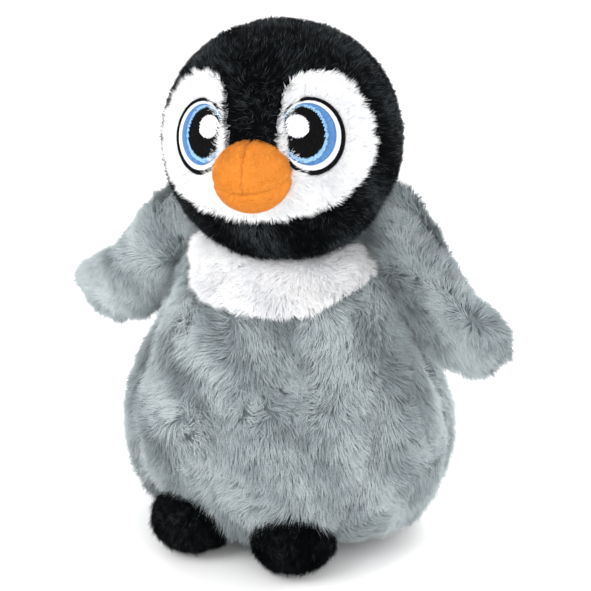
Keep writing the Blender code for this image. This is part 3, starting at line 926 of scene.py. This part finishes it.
@dataclass
class Hood(Shape):
    """The head: white face, black crown strip and the two black hood halves."""

    depth: float = 3.6 * MM
    gusset: float = 14 * MM
    mask_half: list[tuple[float, float]] = field(default_factory=lambda: [
        (0, -20.8), (9, -20.6), (20, -19.4), (30, -16.8), (37.5, -13), (42.5, -8), (45.5, -1.5),
        (46.2, 7), (44.3, 18), (40, 27), (34.5, 33), (28, 36.6), (21, 37.6), (16, 36),
        (12.8, 31.5), (11.2, 23), (10.4, 9), (0, 7),
    ])

    def form(self, inset: float) -> bpy.types.Object:
        """Make a ball that is a little fuller at the cheeks."""
        obj = ball("head_form", np.ones(3), np.zeros(3))
        points = points_of(obj)
        flat = np.hypot(points[:, 0], points[:, 1])
        full = (flat**HEAD.fullness + np.abs(points[:, 2]) ** HEAD.fullness) ** (-1 / HEAD.fullness)
        place_points(obj, HEAD.world(points * full[:, None] * (HEAD.radius - inset)))
        return obj

    def panel_of(self, points: Array) -> Array:
        """Number the panel of each point: face, crown strip, left half, right half."""
        local = HEAD.local(points)
        face = (local[:, 1] < 0) & inside(mirror_outline(self.mask_half), local[:, [0, 2]])
        strip = (np.abs(local[:, 0]) < self.gusset) & ((local[:, 2] > 0) | (local[:, 1] > 0))
        number = np.where(local[:, 0] > 0, 2, 3)
        number[strip] = 1
        number[face] = 0
        return number

    def skin(self) -> Skin:
        """Fill the head and mark its chin and crown seams."""
        skin = self.stuffed(5 * MM, 1.0 * MM)
        local = HEAD.local(skin.points)
        chin = np.where((local[:, 1] < 0) & (local[:, 2] < 0), np.abs(local[:, 0]), 1.0)
        crown = np.where(local[:, 2] > 0, np.abs(np.abs(local[:, 0]) - self.gusset) * 1.5, 1.0)
        crease = np.exp(-((np.minimum(chin, crown) / (3 * MM)) ** 2))
        skin.points = skin.points - skin.normals * crease[:, None] * 0.8 * MM
        return skin

    def flow(self, points: Array, out: Array) -> Array:
        """Comb the black pile back from the face and the white pile out from the beak."""
        local = HEAD.local(points)
        back = np.tile([0.0, 1.0, -0.35], (len(points), 1))
        back[:, 2] = np.where(local[:, 2] < -10 * MM, 0.1, -0.35)
        outward = local - np.array([0, -0.055, -0.002])
        outward[:, 1] *= 0.3
        lie = np.where((self.panel_of(points) == 0)[:, None], unit(outward), back)
        for sign in (1, -1):
            eye = Eye(sign)
            flat = eye.flat(local)
            near = np.exp(-((np.maximum(0, np.linalg.norm(flat, axis=1) - 15 * MM) / (6 * MM)) ** 2))
            near = near * (local[:, 1] < 0) * (1 - smooth(flat[:, 0], -4 * MM, 4 * MM))
            spread = eye.direction(flat)
            lie = lie * (1 - near)[:, None] + spread * near[:, None]
            rim = np.exp(-(((np.linalg.norm(flat, axis=1) - 14 * MM) / (5 * MM)) ** 2))
            rim = rim * smooth(flat[:, 0], 2 * MM, 8 * MM) * (self.panel_of(points) == 0)
            lie = lie - spread * rim[:, None] * 0.4
        return HEAD.aim(lie)

    def open_eyes(self, points: Array) -> Array:
        """Tell which roots lie clear of the stitched eyes and the beak."""
        local = HEAD.local(points)
        clear = np.ones(len(points), bool)
        for sign in (1, -1):
            flat = Eye(sign).flat(local) / MM
            nose_side = smooth(flat[:, 0], 0.0, 8.0)
            flat = (flat + np.array([3.7, 0.0]) * nose_side[:, None]) / np.array(EYE_SIZE)
            clear &= ((flat**2).sum(1) > 1) | (local[:, 1] > 0)
        nose = (local[:, 0] / (15.0 * MM)) ** 2 + ((local[:, 2] + 1.4 * MM) / (13.8 * MM)) ** 2
        return clear & ((nose > 1) | (local[:, 1] > 0))

    def trim(self, points: Array, out: Array) -> Array:
        """Shorten the pile round the eyes."""
        local = HEAD.local(points)
        share = np.ones(len(points))
        for sign in (1, -1):
            flat = Eye(sign).flat(local) / MM
            far = np.linalg.norm(flat / np.array(EYE_SIZE), axis=1)
            least = 0.45 + 0.5 * smooth(flat[:, 0], 0.0, 8.0)
            shorter = np.minimum(share, least + (1 - least) * smooth(far, 1.0, 1.3))
            share = np.where(local[:, 1] < 0, shorter, share)
        return share

    def build(self) -> None:
        """Make the head's four panels and its filling."""
        skin = self.skin()
        where = self.panel_of(skin.middles())
        names = ["face_mask", "crown_gusset", "hood_panel_left", "hood_panel_right"]
        for index, (name, count) in enumerate(zip(names, [22000, 15000, 26000, 26000])):
            pile, finish = (FACE_PILE, Cloth.WHITE) if name == "face_mask" else (HOOD_PILE, Cloth.BLACK)
            strands = grow(skin, replace(pile, strands=count), self.flow, 60 + index,
                           lambda p, i=index: self.root_here(p, i), self.trim)
            keep = (where == index) & self.open_eyes(skin.middles())
            piece = assemble(f"{name}_plush", skin.part(keep, self.cloth), strands, finish.value.material())
            dress(piece, name, "head")
        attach(self.filling("head_fibre", "head_stuffing", 5 * MM), "head")

    def root_here(self, points: Array, index: int) -> Array:
        """Tell which roots belong to one panel, outside the eyes, with a softly uneven edge."""
        shaky = points + drift(points, 5 * MM, 9) * 0.35 * MM
        return self.open_eyes(points) & (self.panel_of(shaky) == index)


@dataclass(frozen=True)
class Oval:
    """An oval in the eye's own plane: half sizes and shift towards the nose and up, in metres."""

    wide: float
    high: float
    inward: float = 0.0
    up: float = 0.0

    def edge(self, angle: Array, about: "Oval") -> Array:
        """Return the distance to this oval's edge in each direction from another oval's middle."""
        c, s = np.cos(angle), np.sin(angle)
        x0, y0 = about.inward - self.inward, about.up - self.up
        a = (c / self.wide) ** 2 + (s / self.high) ** 2
        b = x0 * c / self.wide**2 + y0 * s / self.high**2
        k = (x0 / self.wide) ** 2 + (y0 / self.high) ** 2 - 1
        return (-b + np.sqrt(np.maximum(b * b - a * k, 0))) / a


@dataclass
class Eye:
    """An embroidered eye of five stitched areas, on one side of the face."""

    sign: int
    turn: float = 29.5
    tilt: float = 15.0
    sink: float = 2.2 * MM
    tuck: float = 2.9 * MM
    outer: Oval = Oval(EYE_SIZE[0] * MM, EYE_SIZE[1] * MM)
    white: Oval = Oval(13.6 * MM, 15.3 * MM, 0.3 * MM, 0.3 * MM)
    iris: Oval = Oval(12.4 * MM, 13.6 * MM, 1.3 * MM, 1.0 * MM)
    inner: Oval = Oval(10.2 * MM, 12.4 * MM, 3.5 * MM, 1.5 * MM)
    pupil: Oval = Oval(9.8 * MM, 11.7 * MM, 3.8 * MM, 2.1 * MM)
    light: Oval = Oval(5.2 * MM, 5.3 * MM, 6.2 * MM, 5.0 * MM)

    def axes(self) -> Array:
        """Return the eye's directions towards the nose, up and out, in the head's space."""
        az, el = math.radians(self.turn), math.radians(self.tilt)
        out = np.array([math.sin(az) * math.cos(el), -math.cos(az) * math.cos(el), math.sin(el)])
        inward = np.array([-math.cos(az), -math.sin(az), 0.0])
        up = np.cross(out, inward) * -1.0
        up = up if up[2] > 0 else -up
        axes = np.stack([inward, up, out])
        axes[:, 0] *= self.sign
        return axes

    def flat(self, local: Array) -> Array:
        """Return places of the head's space in the eye's plane: towards the nose and up."""
        return local @ self.axes()[:2].T

    def direction(self, flat: Array) -> Array:
        """Return the head-space direction that leads away from the eye's middle."""
        return unit(flat @ self.axes()[:2])

    def lift(self, flat: Array, height: Array) -> Array:
        """Lay eye-plane places on the face at some height, tucked under the pile beside the nose."""
        base = HEAD.radius - self.sink
        out = np.sqrt(np.maximum(base**2 - (flat**2).sum(1), 0))
        tuck = smooth(flat[:, 0], 10.4 * MM, 12.4 * MM) * self.tuck
        return unit(np.column_stack([flat, out]) @ self.axes()) * (base + height - tuck)[:, None]

    def threads(self, low: Array, high: Array, width: float, base: float, tone: Array,
                rng: np.random.Generator) -> Strands:
        """Lay one thread for each pair of ends.

        Args:
            low: Start places in the eye's plane.
            high: End places.
            width: Thread width.
            base: Height of the threads over the ground.
            tone: Tone of each thread.
            rng: Source of random numbers.

        Returns:
            The threads as strands.
        """
        count = len(low)
        level = base + rng.random(count) * 0.12 * MM
        ends = [self.lift(low, level - 0.35 * MM), self.lift((low + high) / 2, level + 0.3 * MM),
                self.lift(high, level - 0.35 * MM)]
        out = unit(ends[1])
        world = [HEAD.world(p) for p in ends]
        points, normals = spindles(*world, HEAD.aim(out), np.full(count, width * 2.2), 0.55)
        # a little painted shade at each thread's first end and a painted highlight along its raised top
        shade = np.array([-0.06, 0, 0, 0.08, 0.0])
        return Strands(points, normals, np.clip(tone[:, None] + shade, 0, 1))

    def spokes(self, inside_oval: Oval, outside_oval: Oval, width: float, base: float, tone: float,
               ragged: float, seed: int) -> Strands:
        """Stitch a ring from an inner oval to an outer one.

        Args:
            inside_oval: The ring's inner edge.
            outside_oval: The ring's outer edge.
            width: Thread width.
            base: Height over the ground.
            tone: Tone of the threads.
            ragged: How far the ends wander.
            seed: Number that picks the pattern.

        Returns:
            The threads.
        """
        rng = np.random.default_rng(seed)
        rim = math.tau * (outside_oval.wide + outside_oval.high) / 2
        count = int(rim / (width * 0.42))
        angle = (np.arange(count) + rng.random(count) * 0.6) / count * math.tau
        near = inside_oval.edge(angle, inside_oval) - rng.random(count) * ragged
        far = outside_oval.edge(angle, inside_oval) + (rng.random(count) - 0.4) * ragged
        keep = far - near > 0.25 * MM
        way = np.column_stack([np.cos(angle), np.sin(angle)])[keep]
        middle = np.array([inside_oval.inward, inside_oval.up])
        shade = tone + (rng.random(keep.sum()) - 0.5) * 0.25
        low, high = middle + way * near[keep, None], middle + way * far[keep, None]
        return self.threads(low, high, width, base, shade, rng)

    def rows(self, oval: Oval, width: float, base: float, tone: float, seed: int, slant: float) -> Strands:
        """Fill an oval with rows of stitches.

        Args:
            oval: The area.
            width: Thread width.
            base: Height over the ground.
            tone: Tone of the threads.
            seed: Number that picks the pattern.
            slant: Turn of the rows in degrees.

        Returns:
            The threads.
        """
        rng = np.random.default_rng(seed)
        c, s = math.cos(math.radians(slant)), math.sin(math.radians(slant))
        turn = np.array([[c, s], [-s, c]])
        low, high = [], []
        step, long = width * 0.5, 4.2 * MM
        reach = max(oval.wide, oval.high)
        for row, x in enumerate(np.arange(-reach, reach, step)):
            starts = np.arange(-reach - long * (row % 5) / 5, reach, long)
            for y in starts:
                ends = np.clip(np.array([y - 0.3 * MM, y + long]), -reach, reach)
                pair = np.array([[x, ends[0]], [x, ends[1]]]) @ turn
                size = np.sqrt(((pair / np.array([oval.wide, oval.high])) ** 2).sum(1))
                if size.min() > 0.98:
                    continue
                for k in (0, 1):
                    if size[k] > 0.98:
                        other = pair[1 - k]
                        for part in np.linspace(0, 1, 12):
                            spot = pair[k] + (other - pair[k]) * part
                            if np.sqrt(((spot / np.array([oval.wide, oval.high])) ** 2).sum()) <= 0.98:
                                break
                        pair[k] = spot
                low.append(pair[0])
                high.append(pair[1])
        shift = np.array([oval.inward, oval.up])
        low, high = np.array(low) + shift, np.array(high) + shift
        shade = tone + (rng.random(len(low)) - 0.5) * 0.3
        return self.threads(low, high, width, base, shade, rng)

    def ground(self, inner: Oval | None, outer: Oval, height: float) -> Skin:
        """Make the backing cloth of a stitched area, between two ovals."""
        sides, rings = 48, 6 if inner is None else 3
        angle = np.arange(sides) / sides * math.tau
        about = inner or outer
        near = inner.edge(angle, about) if inner else np.full(sides, 0.02 * MM)
        far = outer.edge(angle, about)
        far = np.maximum(far, near + 0.05 * MM)
        way = np.column_stack([np.cos(angle), np.sin(angle)])
        middle = np.array([about.inward, about.up])
        flats = [middle + way * (near + (far - near) * r / rings)[:, None] for r in range(rings + 1)]
        flats = np.concatenate(flats)
        top = self.lift(flats, np.full(len(flats), height))
        low = self.lift(flats, np.full(len(flats), height - 0.5 * MM))
        bm = bmesh.new()
        layers = [[bm.verts.new(p) for p in HEAD.world(layer)] for layer in (top, low)]
        for i in range(sides):
            j = (i + 1) % sides
            for r in range(rings):
                for layer in layers:
                    bm.faces.new([layer[k] for k in (r * sides + i, r * sides + j, (r + 1) * sides + j,
                                                     (r + 1) * sides + i)])
            for r in (0, rings):
                bm.faces.new([layers[0][r * sides + i], layers[0][r * sides + j],
                              layers[1][r * sides + j], layers[1][r * sides + i]])
        bmesh.ops.recalc_face_normals(bm, faces=bm.faces)
        bmesh.ops.triangulate(bm, faces=bm.faces)
        mesh = bpy.data.meshes.new("ground")
        bm.to_mesh(mesh)
        bm.free()
        return Skin.take(bpy.data.objects.new("ground", mesh))

    def build(self) -> None:
        """Make the eye's five stitched pieces."""
        side = side_of(self.sign)
        w = 0.42 * MM
        areas = [
            ("eye_outline", Cloth.BLACK_THREAD,
             [self.spokes(self.white, self.outer, w, 0.25 * MM, 0.5, 0.5 * MM, 1)],
             self.ground(self.white, self.outer, 0.0)),
            ("eye_white", Cloth.WHITE_THREAD,
             [self.spokes(self.iris, self.white, w, 0.2 * MM, 0.6, 0.3 * MM, 2)],
             self.ground(self.iris, self.white, 0.0)),
            ("eye_iris", Cloth.BLUE_THREAD, [
                self.spokes(self.inner, self.iris, w, 0.15 * MM, 0.40, 0.4 * MM, 3),
                self.spokes(self.pupil, self.inner, w, 0.3 * MM, 0.82, 1.6 * MM, 4)],
             self.ground(self.pupil, self.iris, 0.0)),
            ("eye_pupil", Cloth.BLACK_THREAD, [self.rows(self.pupil, w, 0.35 * MM, 0.4, 5, 12.0)],
             self.ground(None, self.pupil, 0.1 * MM)),
            ("eye_highlight", Cloth.WHITE_THREAD, [self.rows(self.light, w, 0.75 * MM, 0.8, 6, 35.0)],
             self.ground(None, self.light, 0.55 * MM)),
        ]
        for name, finish, runs, ground in areas:
            threads = Strands(*(np.concatenate([getattr(run, part) for run in runs])
                                for part in ("points", "normals", "tone")))
            piece = assemble(f"{name}_stitches_{side}", ground, threads, finish.value.material(), 0.5)
            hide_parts(f"{name}_{side}")
            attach(piece, "head")
            log.info("%s: %d threads", piece.name, len(threads.points))


@dataclass
class Beak:
    """The stuffed fleece beak: two upper halves and a lower piece."""

    radii: tuple[float, float, float] = (17.0 * MM, 18.1 * MM, 15.6 * MM)
    reach: float = 73 * MM
    drop: float = 1.4 * MM
    mouth: float = 4.8 * MM
    cloth: float = 1.2 * MM

    def centre(self) -> Array:
        """Return the bulb's middle in the head's own space."""
        return np.array([0, self.radii[1] - self.reach + 0.4 * MM, -self.drop])

    def lip_drop(self, local: Array) -> Array:
        """Return how far below the head's middle the mouth runs, curving up at its corners."""
        return self.mouth - 0.9 * MM * (local[:, 0] / self.radii[0]) ** 2 * 3

    def bulb(self) -> Skin:
        """Model the bulb, with its middle seam and its mouth drawn in, in the toy's space."""
        obj = ball("beak_form", np.array(self.radii), self.centre(), 96, 72)
        skin = Skin.take(obj)
        local = skin.points
        above = local[:, 2] > -self.mouth - 1 * MM
        middle = np.where(above, np.abs(local[:, 0]), 1.0)
        pucker = 0.25 * np.sin(local[:, 2] * math.tau / (2.6 * MM))
        seam = np.exp(-((middle / (0.9 * MM)) ** 2)) * 1.1 + np.exp(-((middle / (3 * MM)) ** 2)) * pucker
        lip = np.exp(-(((local[:, 2] + self.lip_drop(local)) / (1.1 * MM)) ** 2)) * 1.5
        local = local - skin.normals * ((seam + lip) * 0.7 * MM)[:, None]
        skin.points, skin.normals = HEAD.world(local), HEAD.aim(skin.normals)
        return skin

    def part_of(self, points: Array) -> Array:
        """Number the piece of each point: upper left, upper right, lower."""
        local = HEAD.local(points)
        return np.where(local[:, 2] < -self.lip_drop(local), 2, np.where(local[:, 0] > 0, 0, 1))

    def build(self) -> None:
        """Make the beak's pieces and its filling."""
        skin = self.bulb()
        where = self.part_of(skin.middles())
        showing = HEAD.local(skin.middles())
        outside = np.linalg.norm(showing, axis=1) > HEAD.radius - 4.5 * MM
        names = ["beak_upper_left", "beak_upper_right", "beak_lower"]
        for index, name in enumerate(names):
            strands = grow(skin, BEAK_NAP, lambda p, n: np.tile([0, 0.2, -1.0], (len(p), 1)), 80 + index,
                           lambda p, i=index: (self.part_of(p) == i) & self.shows(p))
            piece = assemble(f"{name}_fleece", skin.part((where == index) & outside, self.cloth), strands,
                             Cloth.ORANGE.value.material(), 0.5)
            dress(piece, name, "head")
        scale = 1 - 2.6 * MM / self.radii[0]
        obj = ball("beak_stuffing_form", np.array(self.radii) * scale, self.centre(), 40, 28)
        core = Skin.take(obj)
        core.points = HEAD.world(core.points)
        piece = assemble("beak_fibre", core, None, Cloth.FILLING.value.material(), 0.6)
        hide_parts("beak_stuffing")
        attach(piece, "head")

    def shows(self, points: Array) -> Array:
        """Tell which roots stand clear of the face."""
        return np.linalg.norm(HEAD.local(points), axis=1) > HEAD.radius - 3 * MM


@dataclass
class Wing(Shape):
    """A flat mitt with a front and a back panel, on one side."""

    sign: int = 1
    depth: float = 6.5 * MM
    plane: float = 5 * MM
    half_thick: float = 12.5 * MM
    centre: tuple[float, float] = (86, 119)
    outline: list[tuple[float, float]] = field(default_factory=lambda: [
        (34, 148), (37, 161), (44, 171), (52, 174), (59.5, 170.5), (66.5, 161.5), (74.5, 151), (83.5, 142),
        (92.5, 133), (102, 125.5), (110.5, 118), (116, 110.5), (117.5, 103), (115, 97), (109, 94.5),
        (107.5, 89), (103, 84.5), (95, 83), (86, 84), (75, 87.5), (65, 95), (55, 108), (43, 127),
    ])
    hinge: tuple[tuple[float, float], tuple[float, float]] = ((66.5, 101), (49, 150))
    shoulder_lift: tuple[float, float] = (8.0, -4.0)
    tip_reach: tuple[float, float] = (-1.0, 4.0)

    def form(self, inset: float) -> bpy.types.Object:
        """Shape a ball into the flat mitt."""
        obj = ball("wing_form", np.ones(3), np.zeros(3), 48, 24)
        points = points_of(obj)
        flat = np.hypot(points[:, 0], points[:, 1])
        angle = np.arctan2(points[:, 1], points[:, 0])
        outline = np.array(self.outline) - np.array(self.centre)
        way = np.column_stack([np.cos(angle), np.sin(angle)])
        reach = np.zeros(len(points))
        for a, b in zip(outline, np.roll(outline, -1, axis=0)):
            step = b - a
            cross = way[:, 0] * step[1] - way[:, 1] * step[0]
            cross = np.where(np.abs(cross) < 1e-9, 1e-9, cross)
            along = (a[0] * step[1] - a[1] * step[0]) / cross
            part = (a[0] * way[:, 1] - a[1] * way[:, 0]) / cross
            hit = (along > 0) & (part > -1e-6) & (part < 1 + 1e-6)
            reach = np.where(hit, np.maximum(reach, along), reach)
        reach = np.maximum(reach - inset / MM, 4) * flat**0.8
        x = self.centre[0] + reach * way[:, 0]
        z = self.centre[1] + reach * way[:, 1]
        side = 0 if self.sign > 0 else 1
        z = z + smooth(z, 132.0, 172.0) * self.shoulder_lift[side]
        x = x + smooth(x, 88.0, 116.0) * self.tip_reach[side]
        thick = self.half_thick - inset
        place_points(obj, np.column_stack([x * MM * self.sign, self.plane + points[:, 2] * thick, z * MM]))
        with editing():
            bpy.ops.mesh.remove_doubles(threshold=MERGE)
            bpy.ops.mesh.normals_make_consistent(inside=False)
        return obj

    def skin(self) -> Skin:
        """Fill the mitt."""
        return self.stuffed(4.5 * MM, 1.5 * MM)

    def flow(self, points: Array, out: Array) -> Array:
        """Comb the fur from the shoulder to the tip and out to the rim."""
        low, high = (np.array(p) * MM for p in self.hinge)
        flat = np.column_stack([points[:, 0] * self.sign, points[:, 2]])
        lie = flat - (low + high) / 2
        lie = unit(lie) + (flat - np.array(self.centre) * MM) * 12 + np.array([0.15, -0.45])
        return np.column_stack([lie[:, 0] * self.sign, np.zeros(len(points)), lie[:, 1]])

    def clear(self, points: Array) -> Array:
        """Tell which roots aren't buried in the body or the head."""
        head = np.linalg.norm(points - np.array(HEAD.centre), axis=1) > HEAD.radius - 1 * MM
        return head & Body().outside(points, 10 * MM)

    def build(self) -> None:
        """Make the wing's two panels and its filling."""
        side = side_of(self.sign)
        skin = self.skin()
        middles = skin.middles()
        low, high = (np.array(p) * MM for p in self.hinge)
        along = unit(low - high)
        outward = np.array([-along[1], along[0]])
        outward = outward if outward[0] > 0 else -outward
        for index, (name, front) in enumerate((("front", True), ("back", False))):
            test = lambda p, f=front: self.clear(p) & ((p[:, 1] < self.plane) == f)
            strands = grow(skin, WING_PILE, self.flow, 90 + index + (self.sign > 0) * 4, test)
            keep = ((middles[:, 1] < self.plane) == front) & self.clear(middles)
            piece = assemble(f"wing_{name}_plush_{side}", skin.part(keep, self.cloth), strands,
                             Cloth.GREY.value.material())
            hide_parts(f"wing_{name}_panel_{side}")
            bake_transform(piece)
            log.info("%s: %d triangles", piece.name, len(piece.data.polygons))
        piece = self.filling(f"wing_fibre_{side}", f"wing_stuffing_{side}", 3 * MM)
        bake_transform(piece)


@dataclass
class Foot(Shape):
    """A padded oval foot with an upper and a sole, on one side."""

    sign: int = 1
    depth: float = 3.6 * MM
    radii: tuple[float, float, float] = (22.5 * MM, 25 * MM, 19 * MM)
    centre: tuple[float, float, float] = (25.5 * MM, -46.1 * MM, 16 * MM)
    toe_out: float = 8.0
    sole_top: float = 3.2 * MM

    def form(self, inset: float) -> bpy.types.Object:
        """Make the oval pad, flattened where it stands."""
        obj = ball("foot_form", np.array(self.radii) - inset, np.zeros(3), 40, 24)
        points = points_of(obj)
        angle = math.radians(self.toe_out)
        c, s = math.cos(angle), math.sin(angle)
        points = points @ np.array([[c, s, 0], [-s, c, 0], [0, 0, 1]]) + np.array(self.centre)
        points[:, 2] = np.maximum(points[:, 2], inset * 0.5)
        points[:, 0] *= self.sign
        place_points(obj, points)
        with editing():
            bpy.ops.mesh.normals_make_consistent(inside=False)
        return obj

    def skin(self) -> Skin:
        """Fill the foot and flatten its sole."""
        skin = self.stuffed(4.5 * MM, 1.0 * MM)
        skin.points[:, 2] = np.maximum(skin.points[:, 2], 1.4 * MM)
        return skin

    def flow(self, points: Array, out: Array) -> Array:
        """Comb the pile forwards and down from the top."""
        lie = points - np.array([self.centre[0] * self.sign, self.centre[1] + 0.02, 0.045])
        return unit(lie)

    def clear(self, points: Array) -> Array:
        """Tell which roots aren't buried in the body."""
        return Body().outside(points, 7 * MM)

    def build(self) -> None:
        """Make the foot's upper, sole and filling."""
        side = side_of(self.sign)
        skin = self.skin()
        middles = skin.middles()
        for name, upper, count in (("upper", True, 9000), ("sole", False, 1500)):
            pile, seed = replace(FOOT_PILE, strands=count), 110 + upper + (self.sign > 0) * 4
            strands = grow(skin, pile, self.flow, seed,
                           lambda p, u=upper: self.clear(p) & ((p[:, 2] > self.sole_top) == u),
                           lambda p, n: 0.3 + 0.7 * smooth(p[:, 2], 0.0, 8 * MM))
            keep = ((middles[:, 2] > self.sole_top) == upper) & self.clear(middles)
            piece = assemble(f"foot_{name}_plush_{side}", skin.part(keep, self.cloth), strands,
                             Cloth.BLACK.value.material())
            dress(piece, f"foot_{name}_{side}", "body")
        piece = self.filling(f"foot_fibre_{side}", f"foot_stuffing_{side}", 3 * MM)
        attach(piece, "body")


@dataclass
class Studio:
    """A pale floor, soft lights and the camera."""

    azimuth: float = 24.0
    elevation: float = 20.0
    distance: float = 0.9
    target: tuple[float, float, float] = (0.0, 0.0, 0.125)
    lens: float = 115.7
    shift: tuple[float, float] = (0.0184, -0.0318)

    def floor(self) -> None:
        """Lay a wide pale floor."""
        deselect()
        bpy.ops.mesh.primitive_plane_add(size=12.0, location=(0, 0, -0.0002))
        plane = bpy.context.object
        plane.name = "studio_floor"
        mat = bpy.data.materials.new("pale_floor")
        mat.use_nodes = True
        tree = mat.node_tree
        where = node(tree, "TexCoord").outputs["Object"]
        cloud = node(tree, "TexNoise", {"Vector": where, "Scale": 3.0})
        ramp = node(tree, "ValToRGB", {"Fac": cloud.outputs["Fac"]})
        ramp.color_ramp.elements[0].color = (0.93, 0.93, 0.93, 1)
        ramp.color_ramp.elements[1].color = (0.95, 0.95, 0.95, 1)
        feed(tree, tree.nodes["Principled BSDF"], {"Roughness": 0.9, "Base Color": ramp.outputs["Color"]})
        plane.data.materials.append(mat)

    def light(self, name: str, place: tuple[float, float, float], size: float, power: float,
              faces: tuple[float, float, float] | None = None) -> None:
        """Hang a soft square light.

        Args:
            name: The light's name.
            place: Where it hangs.
            size: Length of its side.
            power: Its power in watts.
            faces: The point that it faces, which is the toy if none is given.
        """
        lamp = bpy.data.lights.new(name, "AREA")
        lamp.shape, lamp.size, lamp.energy = "SQUARE", size, power
        obj = bpy.data.objects.new(name, lamp)
        bpy.context.scene.collection.objects.link(obj)
        obj.location = place
        aim = Vector(faces or self.target) - Vector(place)
        obj.rotation_euler = aim.to_track_quat("-Z", "Y").to_euler()

    def camera(self) -> None:
        """Set the camera at the toy's front left, a little above it."""
        az, el = math.radians(self.azimuth), math.radians(self.elevation)
        back = Vector((math.sin(az) * math.cos(el), -math.cos(az) * math.cos(el), math.sin(el)))
        data = bpy.data.cameras.new("camera")
        data.lens, data.sensor_width = self.lens, 36.0
        data.shift_x, data.shift_y = self.shift
        data.clip_start, data.clip_end = 0.01, 50.0
        obj = bpy.data.objects.new("camera", data)
        bpy.context.scene.collection.objects.link(obj)
        obj.location = Vector(self.target) + back * self.distance
        obj.rotation_euler = back.to_track_quat("Z", "Y").to_euler()
        bpy.context.scene.camera = obj

    def build(self) -> None:
        """Set up the whole studio."""
        self.floor()
        self.camera()
        self.light("key", (-0.9, -1.3, 1.2), 1.2, 23)
        self.light("fill", (1.3, -1.3, 0.6), 1.4, 15)
        self.light("rim_left", (-1.2, 1.0, 0.9), 0.9, 8)
        self.light("rim_right", (1.3, 0.9, 1.0), 0.9, 9)
        self.light("backdrop", (0.3, 2.4, 1.9), 2.4, 90, (0.5, 2.3, 0.0))
        world = bpy.data.worlds.new("studio")
        world.use_nodes = True
        sky = world.node_tree.nodes["Background"]
        sky.inputs["Color"].default_value = (1, 1, 1, 1)
        sky.inputs["Strength"].default_value = 0.9
        bpy.context.scene.world = world
        bpy.context.scene.view_settings.view_transform = "Standard"


def main() -> None:
    """Build every sub-assembly in order."""
    logging.basicConfig(level=logging.INFO, format="%(name)s %(message)s")
    Studio().build()
    Body().build()
    Hood().build()
    Beak().build()
    for sign in (1, -1):
        Eye(sign).build()
        Wing(sign=sign).build()
        Foot(sign=sign).build()


if __name__ == "__main__":
    main()
